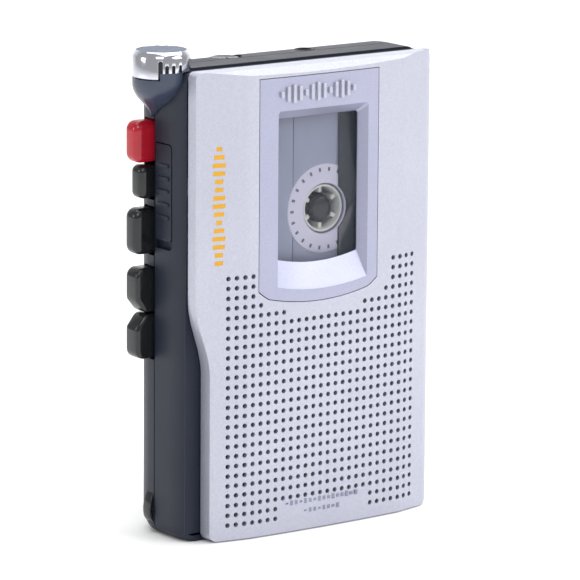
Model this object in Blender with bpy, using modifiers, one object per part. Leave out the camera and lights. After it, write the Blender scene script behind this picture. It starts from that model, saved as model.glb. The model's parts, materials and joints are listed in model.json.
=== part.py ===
"""Compact-cassette dictation recorder, built from the inside out around a standard cassette.

Sizes are in millimetres. X runs to the right, Y to the back and Z up. The origin is the centre of the
flat underside, so the recorder stands on Z = 0 with its lid facing -Y.
"""

import math

import bmesh
import bpy
from mathutils import Matrix, Vector

MM = 0.001

# The standard cassette.
CASSETTE_LENGTH = 100.4
CASSETTE_HEIGHT = 63.8
CASSETTE_THIN = 8.7
CASSETTE_THICK = 12.0
CASSETTE_THICK_ZONE = 20.0
CASSETTE_WALL = 1.0
CASSETTE_CORNER = 2.0
HUB_SPACING = 42.5
HUB_FROM_TAPE_EDGE = 34.8
HUB_RADIUS = 11.0
HUB_BORE = 5.0
TAPE_WIDTH = 3.8
FULL_PACK_RADIUS = 23.5
SMALL_PACK_RADIUS = 13.0
TAPE_FROM_EDGE = 4.0
TAPE_THICKNESS = 0.2
ROLLER_RADIUS = 2.5
CAPSTAN_OFFSET = 26.5

# The case and the depth stack from the back wall to the lid.
WALL = 1.4
GAP = 0.3
HEAD_SPACE = 5.1
SPACE_BELOW = 4.2
SPACE_ABOVE = 6.1
MECHANISM_DEPTH = 10.55
DECK_THICKNESS = 0.8
HEAD_PLATE_THICKNESS = 0.7
CASSETTE_PROUD = 0.1
LID_DEPTH = 6.0
SIDE_BACK_RADIUS = 12.0
TOP_BACK_RADIUS = 9.0
BOTTOM_BACK_RADIUS = 11.0
CORNER_RADIUS = 3.0
SHOULDER_DEPTH = 5.6
SHOULDER_INSET = 1.7

# The lid.
LID_WALL = 1.2
LID_SIDE_WALL = 0.85
LID_EDGE_INSET = 1.5
LID_STEP = 3.8
LID_STEP_TOP = 59.0
LID_STEP_BOTTOM = 40.5
LID_CHAMFER = 2.0
BEZEL_WIDTH = 35.0
BEZEL_HEIGHT = 54.6
BEZEL_SAG = 2.5
BEZEL_FROM_TOP = 2.6
BEZEL_THICKNESS = 3.0
PANE_WIDTH = 22.3
PANE_HEIGHT = 34.0
PANE_THICKNESS = 0.9
HINGE_RADIUS = 1.1
HINGE_PIN = 0.5
EAR_HEIGHT = 2.0
SPEAKER_RADIUS = 17.0

# The drive.
MODULE = 0.6
PINION_TEETH = 14
IDLER_TEETH = 36
REEL_TEETH = 18
GEAR_WIDTH = 1.5
FLYWHEEL_RADIUS = 9.6
FLYWHEEL_WIDTH = 2.4
CAPSTAN_RADIUS = 1.0
PINCH_RADIUS = 2.3
BELT = 0.8
MOTOR_RADIUS = 10.0
MOTOR_LENGTH = 5.6
MOTOR_PULLEY = 3.0
HEAD_TRAVEL = 4.0

# The keys, from the top down: height of the lower end, length, how far it stands out, depth from
# front to back, and whether its stop is at its upper or its lower end.
KEYS = {
    "record_key": (90.4, 10.1, 5.0, 5.2, 1),
    "stop_key": (81.7, 8.1, 3.5, 5.0, -1),
    "play_key": (68.3, 11.2, 5.0, 5.2, -1),
    "rewind_key": (54.2, 10.9, 4.6, 5.2, 1),
    "forward_key": (43.0, 10.9, 4.6, 5.2, -1),
}
KEY_TRAVEL = 3.0
KEY_STEM = 1.4
KEY_STOP = 1.1
PAUSE_BOTTOM = 70.2
PAUSE_LENGTH = 25.5
PAUSE_WIDTH = 7.0
PAUSE_TRAVEL = 1.8

# The microphone, the controls on top and the cells.
MIC_RADIUS = 6.95
MIC_HEIGHT = 6.6
MIC_PROUD = 4.9
POD_LENGTH = 10.0
VOLUME_RADIUS = 4.0
VOLUME_HEIGHT = 2.8
VOLUME_SUNK = 0.2
JACK_RADIUS = 3.2
JACK_BORE = 1.8
CELL_RADIUS = 5.25
CELL_LENGTH = 43.3
CELL_PITCH = 11.0
PCB_THICKNESS = 1.0
DOOR_THICKNESS = 1.1
DOOR_WIDTH = 47.4
SCREW_RADIUS = 0.9

# Everything below follows from those sizes.
WIDTH = 2 * WALL + HEAD_SPACE + CASSETTE_HEIGHT + GAP
HEIGHT = 2 * WALL + SPACE_BELOW + CASSETTE_LENGTH + SPACE_ABOVE
HEAD_PLATE_SPACE = HEAD_PLATE_THICKNESS + 2 * GAP
DEPTH = (
    WALL + MECHANISM_DEPTH + DECK_THICKNESS + HEAD_PLATE_SPACE + CASSETTE_THICK / 2
    + CASSETTE_THIN / 2 + CASSETTE_PROUD + LID_DEPTH
)
LEFT = -WIDTH / 2
RIGHT = WIDTH / 2
FRONT = -DEPTH / 2
BACK = DEPTH / 2
TOP = HEIGHT
PARTING = FRONT + LID_DEPTH
FRONT_FACE = PARTING + GAP / 2
LID_REAR = PARTING - GAP / 2
TAPE_EDGE = LEFT + WALL + HEAD_SPACE
CASSETTE_RIGHT = TAPE_EDGE + CASSETTE_HEIGHT
CASSETTE_BOTTOM = WALL + SPACE_BELOW
CASSETTE_TOP = CASSETTE_BOTTOM + CASSETTE_LENGTH
CASSETTE_MIDDLE = CASSETTE_BOTTOM + CASSETTE_LENGTH / 2
CASSETTE_Y = PARTING + CASSETTE_PROUD + CASSETTE_THIN / 2
HUB_X = TAPE_EDGE + HUB_FROM_TAPE_EDGE
SUPPLY_Z = CASSETTE_MIDDLE + HUB_SPACING / 2
TAKEUP_Z = CASSETTE_MIDDLE - HUB_SPACING / 2
TAPE_X = TAPE_EDGE + TAPE_FROM_EDGE
CAPSTAN_X = TAPE_X + TAPE_THICKNESS / 2 + GAP + CAPSTAN_RADIUS
CAPSTAN_Z = CASSETTE_MIDDLE - CAPSTAN_OFFSET
HEAD_PLATE_Y = CASSETTE_Y + CASSETTE_THICK / 2 + GAP
DECK_Y = HEAD_PLATE_Y + HEAD_PLATE_THICKNESS + GAP
DECK_BACK = DECK_Y + DECK_THICKNESS
SEAM = DECK_Y - 0.1
KEY_Y = SEAM + 0.5
KEY_ZONE = (min(key[0] for key in KEYS.values()), max(key[0] + key[1] for key in KEYS.values()))
FLYWHEEL_Y = DECK_BACK + 0.4
GEAR_Y = FLYWHEEL_Y + FLYWHEEL_WIDTH + 0.5
SPRING_X = LEFT + WALL + KEY_STEM + KEY_TRAVEL + 0.4
MOTOR_X, MOTOR_Z = 10.5, 17.5
CELL_Y = DECK_BACK + GAP + CELL_RADIUS
CELL_Z = (CASSETTE_MIDDLE - CELL_PITCH / 2, CASSETTE_MIDDLE + CELL_PITCH / 2)
HOLDER_LENGTH = CELL_LENGTH + 1.2 + 5.2
HOLDER_BOTTOM = CELL_Z[0] - CELL_RADIUS - 0.3
HOLDER_TOP = CELL_Z[1] + CELL_RADIUS + 0.3
DOOR_BOTTOM = HOLDER_BOTTOM - 0.6
DOOR_TOP = HOLDER_TOP + 0.6
DOOR_HINGE_Y = BACK - DOOR_THICKNESS / 2
DOOR_HINGE_Z = DOOR_BOTTOM + 0.6
PCB_Y = BACK - WALL - PCB_THICKNESS - 0.95
PCB_BOTTOM = HOLDER_TOP + 1.6
PCB_TOP = TOP - WALL - 7.0
MIC_X = LEFT - 0.6
MIC_Y = PARTING + 7.95
MIC_TOP = TOP + MIC_PROUD
MIC_BOTTOM = MIC_TOP - MIC_HEIGHT
VOLUME_X, VOLUME_Y = -12.8, SEAM + 4.5
VOLUME_TOP = TOP - VOLUME_SUNK
VOLUME_LOW = VOLUME_TOP - VOLUME_HEIGHT
JACK_X = 9.5
JACK_Y = DECK_Y + 2.6
LID_LEFT = LEFT + LID_EDGE_INSET
LID_BOTTOM = GAP
LID_CENTRE = 1.5
HINGE_X = RIGHT - HINGE_RADIUS
HINGE_Y = PARTING - 0.35
BEZEL_X = -0.3
PANE_X = 0.8
BEZEL_TOP = TOP - BEZEL_FROM_TOP
BEZEL_BOTTOM = BEZEL_TOP - BEZEL_HEIGHT
PANE_TOP = BEZEL_TOP - 10.9
PANE_BOTTOM = PANE_TOP - PANE_HEIGHT
PANE_Y = FRONT + LID_WALL + 2.1
SPEAKER_X = TAPE_EDGE + CASSETTE_THICK_ZONE + SPEAKER_RADIUS + 2.5
SPEAKER_Z = 30.0
SCREWS = [(x, z) for x in (-23.0, 23.0) for z in (12.5, 92.0)]
STANDOFF_RADIUS = 1.9
STUD = (TAPE_EDGE - 2.3, CAPSTAN_Z + 7.0)

COLOURS = {
    "shell": ((0.055, 0.065, 0.095), 0.45, 0.0),
    "silver": ((0.62, 0.63, 0.70), 0.35, 0.5),
    "chrome": ((0.75, 0.75, 0.77), 0.12, 1.0),
    "key": ((0.012, 0.013, 0.014), 0.25, 0.0),
    "record": ((0.45, 0.02, 0.03), 0.25, 0.0),
    "steel": ((0.55, 0.55, 0.56), 0.35, 1.0),
    "brass": ((0.55, 0.40, 0.16), 0.3, 1.0),
    "white_plastic": ((0.75, 0.75, 0.72), 0.5, 0.0),
    "cassette": ((0.16, 0.18, 0.24), 0.4, 0.0),
    "tape": ((0.05, 0.03, 0.02), 0.4, 0.0),
    "rubber": ((0.02, 0.02, 0.02), 0.8, 0.0),
    "board": ((0.03, 0.14, 0.06), 0.5, 0.0),
    "clear": ((0.35, 0.37, 0.42), 0.1, 0.0),
}

parts = bpy.data.collections.new("cassette_dictation_machine")
cutters = bpy.data.collections.new("cutters")
bodies = {}


# Shapes -------------------------------------------------------------------------------------------


def clear_scene():
    for item in list(bpy.data.objects):
        bpy.data.objects.remove(item)
    bpy.context.scene.collection.children.link(parts)
    bpy.context.scene.collection.children.link(cutters)


def material(name):
    found = bpy.data.materials.get(name)
    if found:
        return found
    found = bpy.data.materials.new(name)
    found.use_nodes = True
    colour, roughness, metallic = COLOURS[name]
    shader = found.node_tree.nodes["Principled BSDF"]
    shader.inputs["Base Color"].default_value = (*colour, 1.0)
    shader.inputs["Roughness"].default_value = roughness
    shader.inputs["Metallic"].default_value = metallic
    return found


def add(name, bm, finish=None):
    """A new object from a bmesh in millimetres: a part when it has a finish, otherwise a helper."""
    bmesh.ops.transform(bm, matrix=Matrix.Scale(MM, 4), verts=bm.verts)
    mesh = bpy.data.meshes.new(name)
    bm.to_mesh(mesh)
    bm.free()
    item = bpy.data.objects.new(name, mesh)
    if finish:
        parts.objects.link(item)
        mesh.materials.append(material(finish))
        mesh.shade_smooth()
        mesh.set_sharp_from_angle(angle=math.radians(30))
    else:
        cutters.objects.link(item)
        item.hide_render = True
        item.display_type = "WIRE"
    return item


def turn_to(axis):
    """The rotation that lays the local Z axis along X, Y or Z."""
    return {
        "X": Matrix.Rotation(math.radians(90), 4, "Y"),
        "Y": Matrix.Rotation(math.radians(-90), 4, "X"),
        "Z": Matrix.Identity(4),
    }[axis]


def box(name, x, y, z, finish=None, bevel=0.0):
    """A block between the pairs x, y and z, with its edges rounded by bevel."""
    bm = bmesh.new()
    bmesh.ops.create_cube(bm, size=1.0)
    size = Matrix.Diagonal((x[1] - x[0], y[1] - y[0], z[1] - z[0], 1.0))
    middle = Matrix.Translation(((x[0] + x[1]) / 2, (y[0] + y[1]) / 2, (z[0] + z[1]) / 2))
    bmesh.ops.transform(bm, matrix=middle @ size, verts=bm.verts)
    item = add(name, bm, finish)
    if bevel:
        rounding = item.modifiers.new("rounded edges", "BEVEL")
        rounding.width = bevel * MM
        rounding.segments = 2
    return item


def cylinder(name, axis, centre, radius, start, end, finish=None, sides=20, end_radius=None):
    """A round bar along an axis through the two other coordinates in centre, or a cone."""
    bm = bmesh.new()
    bmesh.ops.create_cone(
        bm, cap_ends=True, segments=sides, radius1=radius,
        radius2=radius if end_radius is None else end_radius, depth=end - start,
    )
    middle = list(centre)
    middle.insert("XYZ".index(axis), (start + end) / 2)
    bmesh.ops.transform(bm, matrix=Matrix.Translation(middle) @ turn_to(axis), verts=bm.verts)
    return add(name, bm, finish)


def turned(name, axis, centre, profile, finish=None, sides=20):
    """A turned solid: profile holds (radius, position along the axis), from its start round to its end.

    A radius of zero is a point on the axis, and a profile that never reaches the axis makes a ring.
    """
    bm = bmesh.new()
    turns = [2 * math.pi * i / sides for i in range(sides)]
    rings = []
    for radius, height in profile:
        around = turns if radius else [0.0]
        rings.append([bm.verts.new((radius * math.cos(a), radius * math.sin(a), height)) for a in around])
    for lower, upper in zip(rings, rings[1:] + rings[:1]):
        for i in range(sides):
            corners = [lower[i % len(lower)], lower[(i + 1) % len(lower)],
                       upper[(i + 1) % len(upper)], upper[i % len(upper)]]
            corners = list(dict.fromkeys(corners))
            if len(corners) > 2:
                bm.faces.new(corners)
    middle = list(centre)
    middle.insert("XYZ".index(axis), 0.0)
    bmesh.ops.transform(bm, matrix=Matrix.Translation(middle) @ turn_to(axis), verts=bm.verts)
    bmesh.ops.recalc_face_normals(bm, faces=bm.faces)
    return add(name, bm, finish)


def plate(name, axis, outlines, start, end, finish=None):
    """A flat outline with its holes, extruded along an axis.

    Along Y an outline holds (x, z), along X it holds (y, z) and along Z it holds (x, y).
    """
    curve = bpy.data.curves.new(name, "CURVE")
    curve.dimensions = "2D"
    curve.fill_mode = "BOTH"
    curve.extrude = (end - start) / 2
    for outline in outlines:
        spline = curve.splines.new("POLY")
        spline.points.add(len(outline) - 1)
        for point, (u, v) in zip(spline.points, outline):
            point.co = (u, v, 0.0, 1.0)
        spline.use_cyclic_u = True
    helper = bpy.data.objects.new(name, curve)
    bpy.context.scene.collection.objects.link(helper)
    graph = bpy.context.evaluated_depsgraph_get()
    mesh = bpy.data.meshes.new_from_object(helper.evaluated_get(graph))
    bpy.data.objects.remove(helper)
    bpy.data.curves.remove(curve)
    bm = bmesh.new()
    bm.from_mesh(mesh)
    bpy.data.meshes.remove(mesh)
    bmesh.ops.remove_doubles(bm, verts=bm.verts, dist=1e-4)
    middle = (start + end) / 2
    lay = {
        "X": Matrix(((0, 0, 1, middle), (1, 0, 0, 0), (0, 1, 0, 0), (0, 0, 0, 1))),
        "Y": Matrix(((1, 0, 0, 0), (0, 0, -1, middle), (0, 1, 0, 0), (0, 0, 0, 1))),
        "Z": Matrix.Translation((0, 0, middle)),
    }[axis]
    bmesh.ops.transform(bm, matrix=lay, verts=bm.verts)
    bmesh.ops.recalc_face_normals(bm, faces=bm.faces)
    return add(name, bm, finish)


def circle(u, v, radius, sides=16):
    steps = (2 * math.pi * i / sides for i in range(sides))
    return [(u + radius * math.cos(a), v + radius * math.sin(a)) for a in steps]


def rectangle(u, v):
    return [(u[0], v[0]), (u[1], v[0]), (u[1], v[1]), (u[0], v[1])]


def rounded(u, v, radius, steps=3):
    """A rectangle between the pairs u and v, with round corners of equal point count."""
    points = []
    corners = [(u[1] - radius, v[1] - radius, 0), (u[0] + radius, v[1] - radius, 90),
               (u[0] + radius, v[0] + radius, 180), (u[1] - radius, v[0] + radius, 270)]
    for cu, cv, begin in corners:
        for i in range(steps + 1):
            a = math.radians(begin + 90 * i / steps)
            points.append((cu + radius * math.cos(a), cv + radius * math.sin(a)))
    return points


def loft(name, sections, closed, finish=None):
    """A solid through rings of equal point count: closed joins the last ring to the first one."""
    bm = bmesh.new()
    rings = [[bm.verts.new(point) for point in section] for section in sections]
    pairs = list(zip(rings, rings[1:]))
    if closed:
        pairs.append((rings[-1], rings[0]))
    for a, b in pairs:
        for i in range(len(a)):
            j = (i + 1) % len(a)
            bm.faces.new((a[i], a[j], b[j], b[i]))
    if not closed:
        bm.faces.new(rings[0])
        bm.faces.new(rings[-1])
    bmesh.ops.recalc_face_normals(bm, faces=bm.faces)
    return add(name, bm, finish)


def boolean(item, other, operation):
    step = item.modifiers.new(operation.lower(), "BOOLEAN")
    step.operation = operation
    step.object = other
    return item


def cut(item, *others):
    for other in others:
        boolean(item, other, "DIFFERENCE")
    return item


def join(item, *others):
    for other in others:
        boolean(item, other, "UNION")
    return item


def pivot(name, place, *items):
    """An empty on a joint's axis, with the pieces that move about it as its children."""
    if name not in bodies:
        empty = bpy.data.objects.new(name, None)
        empty.location = Vector(place) * MM
        parts.objects.link(empty)
        bodies[name] = empty
    empty = bodies[name]
    for item in items:
        item.data.transform(Matrix.Translation(-empty.location))
        item.parent = empty


# The case -----------------------------------------------------------------------------------------


def quarter(radius, along):
    """How far a round edge has drawn in, this far along its radius."""
    return radius - math.sqrt(max(radius**2 - min(max(along, 0.0), radius) ** 2, 0.0))


def case_section(y, wall):
    """The ring of the case at depth y, drawn in by the wall."""
    side = quarter(SIDE_BACK_RADIUS - wall, y - BACK + SIDE_BACK_RADIUS) + wall
    above = quarter(TOP_BACK_RADIUS - wall, y - BACK + TOP_BACK_RADIUS) + wall
    below = quarter(BOTTOM_BACK_RADIUS - wall, y - BACK + BOTTOM_BACK_RADIUS) + wall
    ahead = min(max((PARTING + SHOULDER_DEPTH - y) / SHOULDER_DEPTH, 0.0), 1.0)
    shoulder = SHOULDER_INSET * (1 - math.sqrt(1 - ahead**2))
    if wall:
        shoulder = 0.0
    corner = CORNER_RADIUS - wall / 2 + 0.5 * (side - wall) + 0.3 * (below - wall)
    outline = rounded((LEFT + side + shoulder, RIGHT - side), (below, TOP - above), corner)
    return [(x, y, z) for x, z in outline]


def back_depths(start, wall, steps=4):
    """Depths from the seam to the back, close together where the edges are round."""
    radius = SIDE_BACK_RADIUS - wall
    centre = BACK - SIDE_BACK_RADIUS
    turns = (math.radians(90 * i / steps) for i in range(steps + 1))
    return [start] + [centre + radius * math.sin(a) for a in turns]


def mic_pod_profile():
    """The horn under the microphone as (radius, height), from its tip up to the chrome ring."""
    low = MIC_BOTTOM - GAP - POD_LENGTH
    shape = [(0.12, 0.0), (0.42, 1.2), (0.62, 3.6), (0.82, 6.6), (0.96, 9.0), (0.985, 10.0)]
    rings = [(MIC_RADIUS * r, low + POD_LENGTH * h / 10) for r, h in shape]
    return [(0.0, low)] + rings + [(0.0, MIC_BOTTOM - GAP)]


def key_opening(name):
    low, length, _, depth, _ = KEYS[name]
    return box(name + "_opening", (LEFT - 1, LEFT + WALL + 4), (SEAM - 1, KEY_Y + depth + GAP),
               (low - GAP, low + length + GAP))


def lid_outline(inset):
    """The lid's edge seen from the front: its left side steps in below the window."""
    left = LID_LEFT + inset
    points = []
    for i in range(9):
        share = i / 8
        z = LID_STEP_BOTTOM + share * (LID_STEP_TOP - LID_STEP_BOTTOM)
        points.append((left + LID_STEP * (1 + math.cos(math.pi * share)) / 2, z))
    right = RIGHT - inset
    low, high = LID_BOTTOM + inset, TOP - inset
    ends = [(left + LID_STEP + 2, low), (left + LID_STEP, low + 2)]
    corner = 3.0
    turn = [math.radians(30 * i) for i in range(4)]
    top_left = [(left, high - 1.5), (left + 1.5, high)]
    top_right = [(right - corner + corner * math.sin(a), high - corner + corner * math.cos(a)) for a in turn]
    low_right = [(right - corner + corner * math.cos(a), low + corner - corner * math.sin(a)) for a in turn]
    return ends + points + top_left + top_right + low_right


def build_front_case():
    depths = [FRONT_FACE, FRONT_FACE + 0.6, FRONT_FACE + 2.0, PARTING + SHOULDER_DEPTH, SEAM - GAP / 2]
    outer = [case_section(y, 0.0) for y in depths]
    inner = [case_section(y, WALL) for y in reversed(depths)]
    case = loft("front_case", outer + inner, True, "shell")
    step_right = [(x + LID_SIDE_WALL + 0.1, z) for x, z in lid_outline(0.0)[1:11] if z < LID_STEP_TOP + 1]
    ledge = [(LEFT + 1.0, 2.0), (step_right[0][0], 2.0)] + step_right + [(LEFT + 1.0, LID_STEP_TOP + 1)]
    join(case, plate("ledge", "Y", [ledge], FRONT_FACE + 0.02, FRONT_FACE + 1.1))
    # The right wall stands back so that the lid's corner can swing past it.
    cut(case, box("lid_swing", (RIGHT - WALL - 1, RIGHT + 1), (FRONT_FACE - 1, FRONT_FACE + 1.0), (-1, TOP + 1)))
    ears = hinge_heights()
    for low in ears:
        hub = cylinder("ear", "Z", (HINGE_X, HINGE_Y), HINGE_RADIUS, low, low + EAR_HEIGHT, sides=20)
        web = box("ear_web", (HINGE_X - 0.7, RIGHT - 0.35), (HINGE_Y, FRONT_FACE + 2.0), (low, low + EAR_HEIGHT))
        join(case, hub, web)
    for low in ears:
        cut(case, cylinder("ear_bore", "Z", (HINGE_X, HINGE_Y), HINGE_PIN + 0.15, low - 1, low + EAR_HEIGHT + 1,
                           sides=16))
    pause = box("pause_opening", (LEFT - 1, LEFT + WALL + 1), (KEY_Y - 0.8 - PAUSE_WIDTH, KEY_Y - 0.8),
                (PAUSE_BOTTOM, PAUSE_BOTTOM + PAUSE_LENGTH))
    strip = box("top_step", (LEFT - 1, RIGHT + 1), (FRONT_FACE - 1, PARTING + 4.5), (TOP - 0.6, TOP + 1))
    return cut(case, pause, strip)


def hinge_heights():
    """The lower faces of the two ears that carry the lid."""
    return (2.9, TOP - 2.9 - EAR_HEIGHT)


def build_rear_case():
    start = SEAM + GAP / 2
    outer = [case_section(y, 0.0) for y in back_depths(start, 0.0)]
    inner = [case_section(y, WALL) for y in back_depths(start, WALL)]
    case = loft("rear_case", list(reversed(inner)) + outer, False, "shell")
    cut(case, *[key_opening(name) for name in KEYS])
    cut(case, box("door_opening", (-DOOR_WIDTH / 2 - GAP, DOOR_WIDTH / 2 + GAP), (BACK - WALL - 2, BACK + 2),
                  (DOOR_BOTTOM - 0.5, DOOR_TOP + GAP)))
    cut(case, cylinder("volume_hole", "Z", (VOLUME_X, VOLUME_Y), VOLUME_RADIUS + 0.25, VOLUME_LOW - 1.0, TOP + 2,
                       sides=32))
    cut(case, cylinder("jack_hole", "Z", (JACK_X, JACK_Y), 2.7, TOP - WALL - 2, TOP + 2, sides=20))
    for x, z in SCREWS:
        cut(case, turned("screw_hole", "Y", (x, z), [
            (0.0, BACK - WALL - 1), (SCREW_RADIUS + GAP, BACK - WALL - 1), (SCREW_RADIUS + GAP, BACK - 0.7),
            (2.0, BACK - 0.7), (2.0, BACK + 1), (0.0, BACK + 1)], sides=20))
    return case


def build_battery_door():
    bottom, top = DOOR_BOTTOM, DOOR_TOP
    door = box("battery_door", (-DOOR_WIDTH / 2, DOOR_WIDTH / 2), (BACK - DOOR_THICKNESS, BACK), (bottom, top), "shell")
    for i in range(4):
        z = top - 3.0 - 1.6 * i
        cut(door, box("thumb_groove", (-5.0, 5.0), (BACK - 0.4, BACK + 1), (z - 0.4, z + 0.4)))
    join(door, box("door_catch", (-4.0, 4.0), (BACK - WALL - 0.9, BACK - 0.5), (top - 1.6, top - 0.4)))
    pivot("battery_door_hinge", (0, DOOR_HINGE_Y, DOOR_HINGE_Z), door)


def build_screws():
    for i, (x, z) in enumerate(SCREWS):
        head = BACK - 0.65
        screw = turned(f"case_screw_{i + 1}", "Y", (x, z), [
            (0.0, DECK_BACK + 2.0), (SCREW_RADIUS, DECK_BACK + 2.0), (SCREW_RADIUS, head), (1.7, head),
            (1.6, head + 0.55), (0.0, head + 0.55)], "steel", sides=16)
        for turn in ((1.1, 0.2), (0.2, 1.1)):
            cut(screw, box("drive_slot", (x - turn[0], x + turn[0]), (head + 0.15, head + 2), (z - turn[1], z + turn[1])))


# The lid ------------------------------------------------------------------------------------------


def lid_profile(inset):
    """The lid's front seen from above: a left facet, a shallow crown, a right facet and a round edge."""
    front = [(LEFT, FRONT + 2.95), (LEFT + 15.3, FRONT + 0.4), (LID_CENTRE, FRONT), (RIGHT - 10.7, FRONT + 1.0),
             (RIGHT - 2.6, FRONT + 3.15), (RIGHT - 1.0, FRONT + 3.9), (RIGHT, FRONT + 5.1)]
    return [(x, y + inset) for x, y in front]


def lid_block(name, inset, side, rear, finish=None):
    """The lid's outer or inner form: its front profile run up the lid, inside its outline."""
    front = lid_profile(inset)
    profile = [(x * 1.02, y) for x, y in front] + [(RIGHT * 1.02, rear), (LEFT * 1.02, rear)]
    block = plate(name, "Z", [profile], -1.0, TOP + 1.0, finish)
    outline = plate(name + "_outline", "Y", [lid_outline(side)], FRONT - 2, rear + 2)
    return boolean(block, outline, "INTERSECT")


def bezel_outline(extra):
    """The window bezel's edge, with its curved lower side."""
    half = BEZEL_WIDTH / 2 + extra
    low = BEZEL_BOTTOM + BEZEL_SAG - extra
    arc = [(BEZEL_X - half + half * i / 4, low - BEZEL_SAG * (1 - (1 - i / 4) ** 2)) for i in range(9)]
    return arc + [(BEZEL_X + half, BEZEL_TOP + extra), (BEZEL_X - half, BEZEL_TOP + extra)]


def build_lid_shell():
    lid = lid_block("lid_shell", 0.0, 0.0, LID_REAR, "silver")
    hollow = lid_block("lid_hollow", LID_WALL, LID_SIDE_WALL, LID_REAR + 1)
    cut(lid, hollow)
    cut(lid, plate("bezel_opening", "Y", [bezel_outline(0.15)], FRONT - 2, PARTING + 2))
    chamfer = plate("top_chamfer", "X", [[(FRONT - 1, TOP - LID_CHAMFER - 0.5), (FRONT - 1, TOP + 1),
                                          (FRONT + LID_CHAMFER + 1.5, TOP + 1)]], LEFT - 1, RIGHT + 1)
    cut(lid, chamfer)
    for low in hinge_heights():
        below = low < TOP / 2
        inner = (LID_BOTTOM + 0.1, low - GAP) if below else (low + EAR_HEIGHT + GAP, TOP - 0.1)
        room = (low - GAP, low + EAR_HEIGHT + GAP)
        cut(lid, cylinder("ear_room", "Z", (HINGE_X, HINGE_Y), HINGE_RADIUS + 0.4, *room, sides=20))
        knuckle = cylinder("knuckle", "Z", (HINGE_X, HINGE_Y), HINGE_RADIUS, *inner, sides=20)
        join(lid, knuckle)
        cut(lid, cylinder("knuckle_bore", "Z", (HINGE_X, HINGE_Y), HINGE_PIN + 0.15, low - 2.0,
                          low + EAR_HEIGHT + 2.0, sides=16))
    join(lid, box("lid_latch", (LID_LEFT + 0.3, LID_LEFT + 1.1), (LID_REAR - 2, PARTING + 2.0), (84.0, 88.0)))
    return lid


def build_bezel():
    bezel = lid_block("window_bezel", 0.0, 0.5, LID_REAR, "silver")
    boolean(bezel, plate("bezel_edge", "Y", [bezel_outline(0.0)], FRONT - 2, FRONT + BEZEL_THICKNESS), "INTERSECT")
    outer = rectangle((PANE_X - 13.35, PANE_X + 13.35), (BEZEL_BOTTOM + 3.3, BEZEL_TOP - 8.0))
    inner = rectangle((PANE_X - PANE_WIDTH / 2, PANE_X + PANE_WIDTH / 2), (PANE_BOTTOM, PANE_TOP))
    reach = BEZEL_THICKNESS
    ahead = [(x, FRONT + 0.4, z) for x, z in outer]
    behind = [(x, FRONT + reach, z) for x, z in inner]
    further = [(x, y + 3, z) for x, y, z in behind]
    nearer = [(x, y - 2, z) for x, y, z in ahead]
    cut(bezel, loft("window_recess", [nearer, ahead, behind, further], False))
    cut(bezel, box("pane_seat", (PANE_X - PANE_WIDTH / 2 - 1.0, PANE_X + PANE_WIDTH / 2 + 1.0),
                   (PANE_Y - 0.5, PARTING), (PANE_BOTTOM - 1.0, PANE_TOP + 1.0)))
    return bezel


def build_lid():
    shell = build_lid_shell()
    bezel = build_bezel()
    pane = box("window_pane", (PANE_X - PANE_WIDTH / 2 - 0.7, PANE_X + PANE_WIDTH / 2 + 0.7),
               (PANE_Y - 0.2, PANE_Y - 0.2 + PANE_THICKNESS), (PANE_BOTTOM - 0.7, PANE_TOP + 0.7), "clear")
    speaker_front = FRONT + LID_WALL + 1.9
    speaker = (SPEAKER_X, SPEAKER_Z)
    rim = SPEAKER_RADIUS
    front = speaker_front
    frame = turned("speaker_frame", "Y", speaker, [
        (rim, front), (rim, front + 0.9), (rim - 5, front + 1.75), (8.0, front + 1.75), (8.0, LID_REAR - 0.2),
        (0.0, LID_REAR - 0.2), (0.0, front + 1.4), (rim - 5, front + 1.4), (rim - 2, front + 0.8), (rim - 2, front)],
        "steel", sides=20)
    cone = turned("speaker_cone", "Y", speaker, [
        (0.0, front + 0.2), (5.0, front + 0.75), (rim - 2.3, front + 0.1), (rim - 2.3, front + 0.4),
        (5.0, front + 1.05), (0.0, front + 0.5)], "tape", sides=20)
    y, z = LID_REAR - 1.0, BEZEL_TOP - 3.4
    spring = box("cassette_spring", (SPEAKER_X - 12, SPEAKER_X + 12), (y - 0.3, y), (z, z + 3.0), "steel")
    rise = [(SPEAKER_X - 6, y - 0.2), (SPEAKER_X, y + 0.6), (SPEAKER_X + 6, y - 0.2), (SPEAKER_X, y + 0.3)]
    join(spring, plate("spring_bow", "Z", [rise], z + 0.5, z + 2.5))
    pivot("lid_hinge", (HINGE_X, HINGE_Y, 0), shell, bezel, pane, frame, cone, spring)
    for name, low in zip(("lower_hinge_pin", "upper_hinge_pin"), hinge_heights()):
        cylinder(name, "Z", (HINGE_X, HINGE_Y), HINGE_PIN, low - 1.6, low + EAR_HEIGHT + 1.6, "steel", sides=12)


# The cassette -------------------------------------------------------------------------------------


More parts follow.
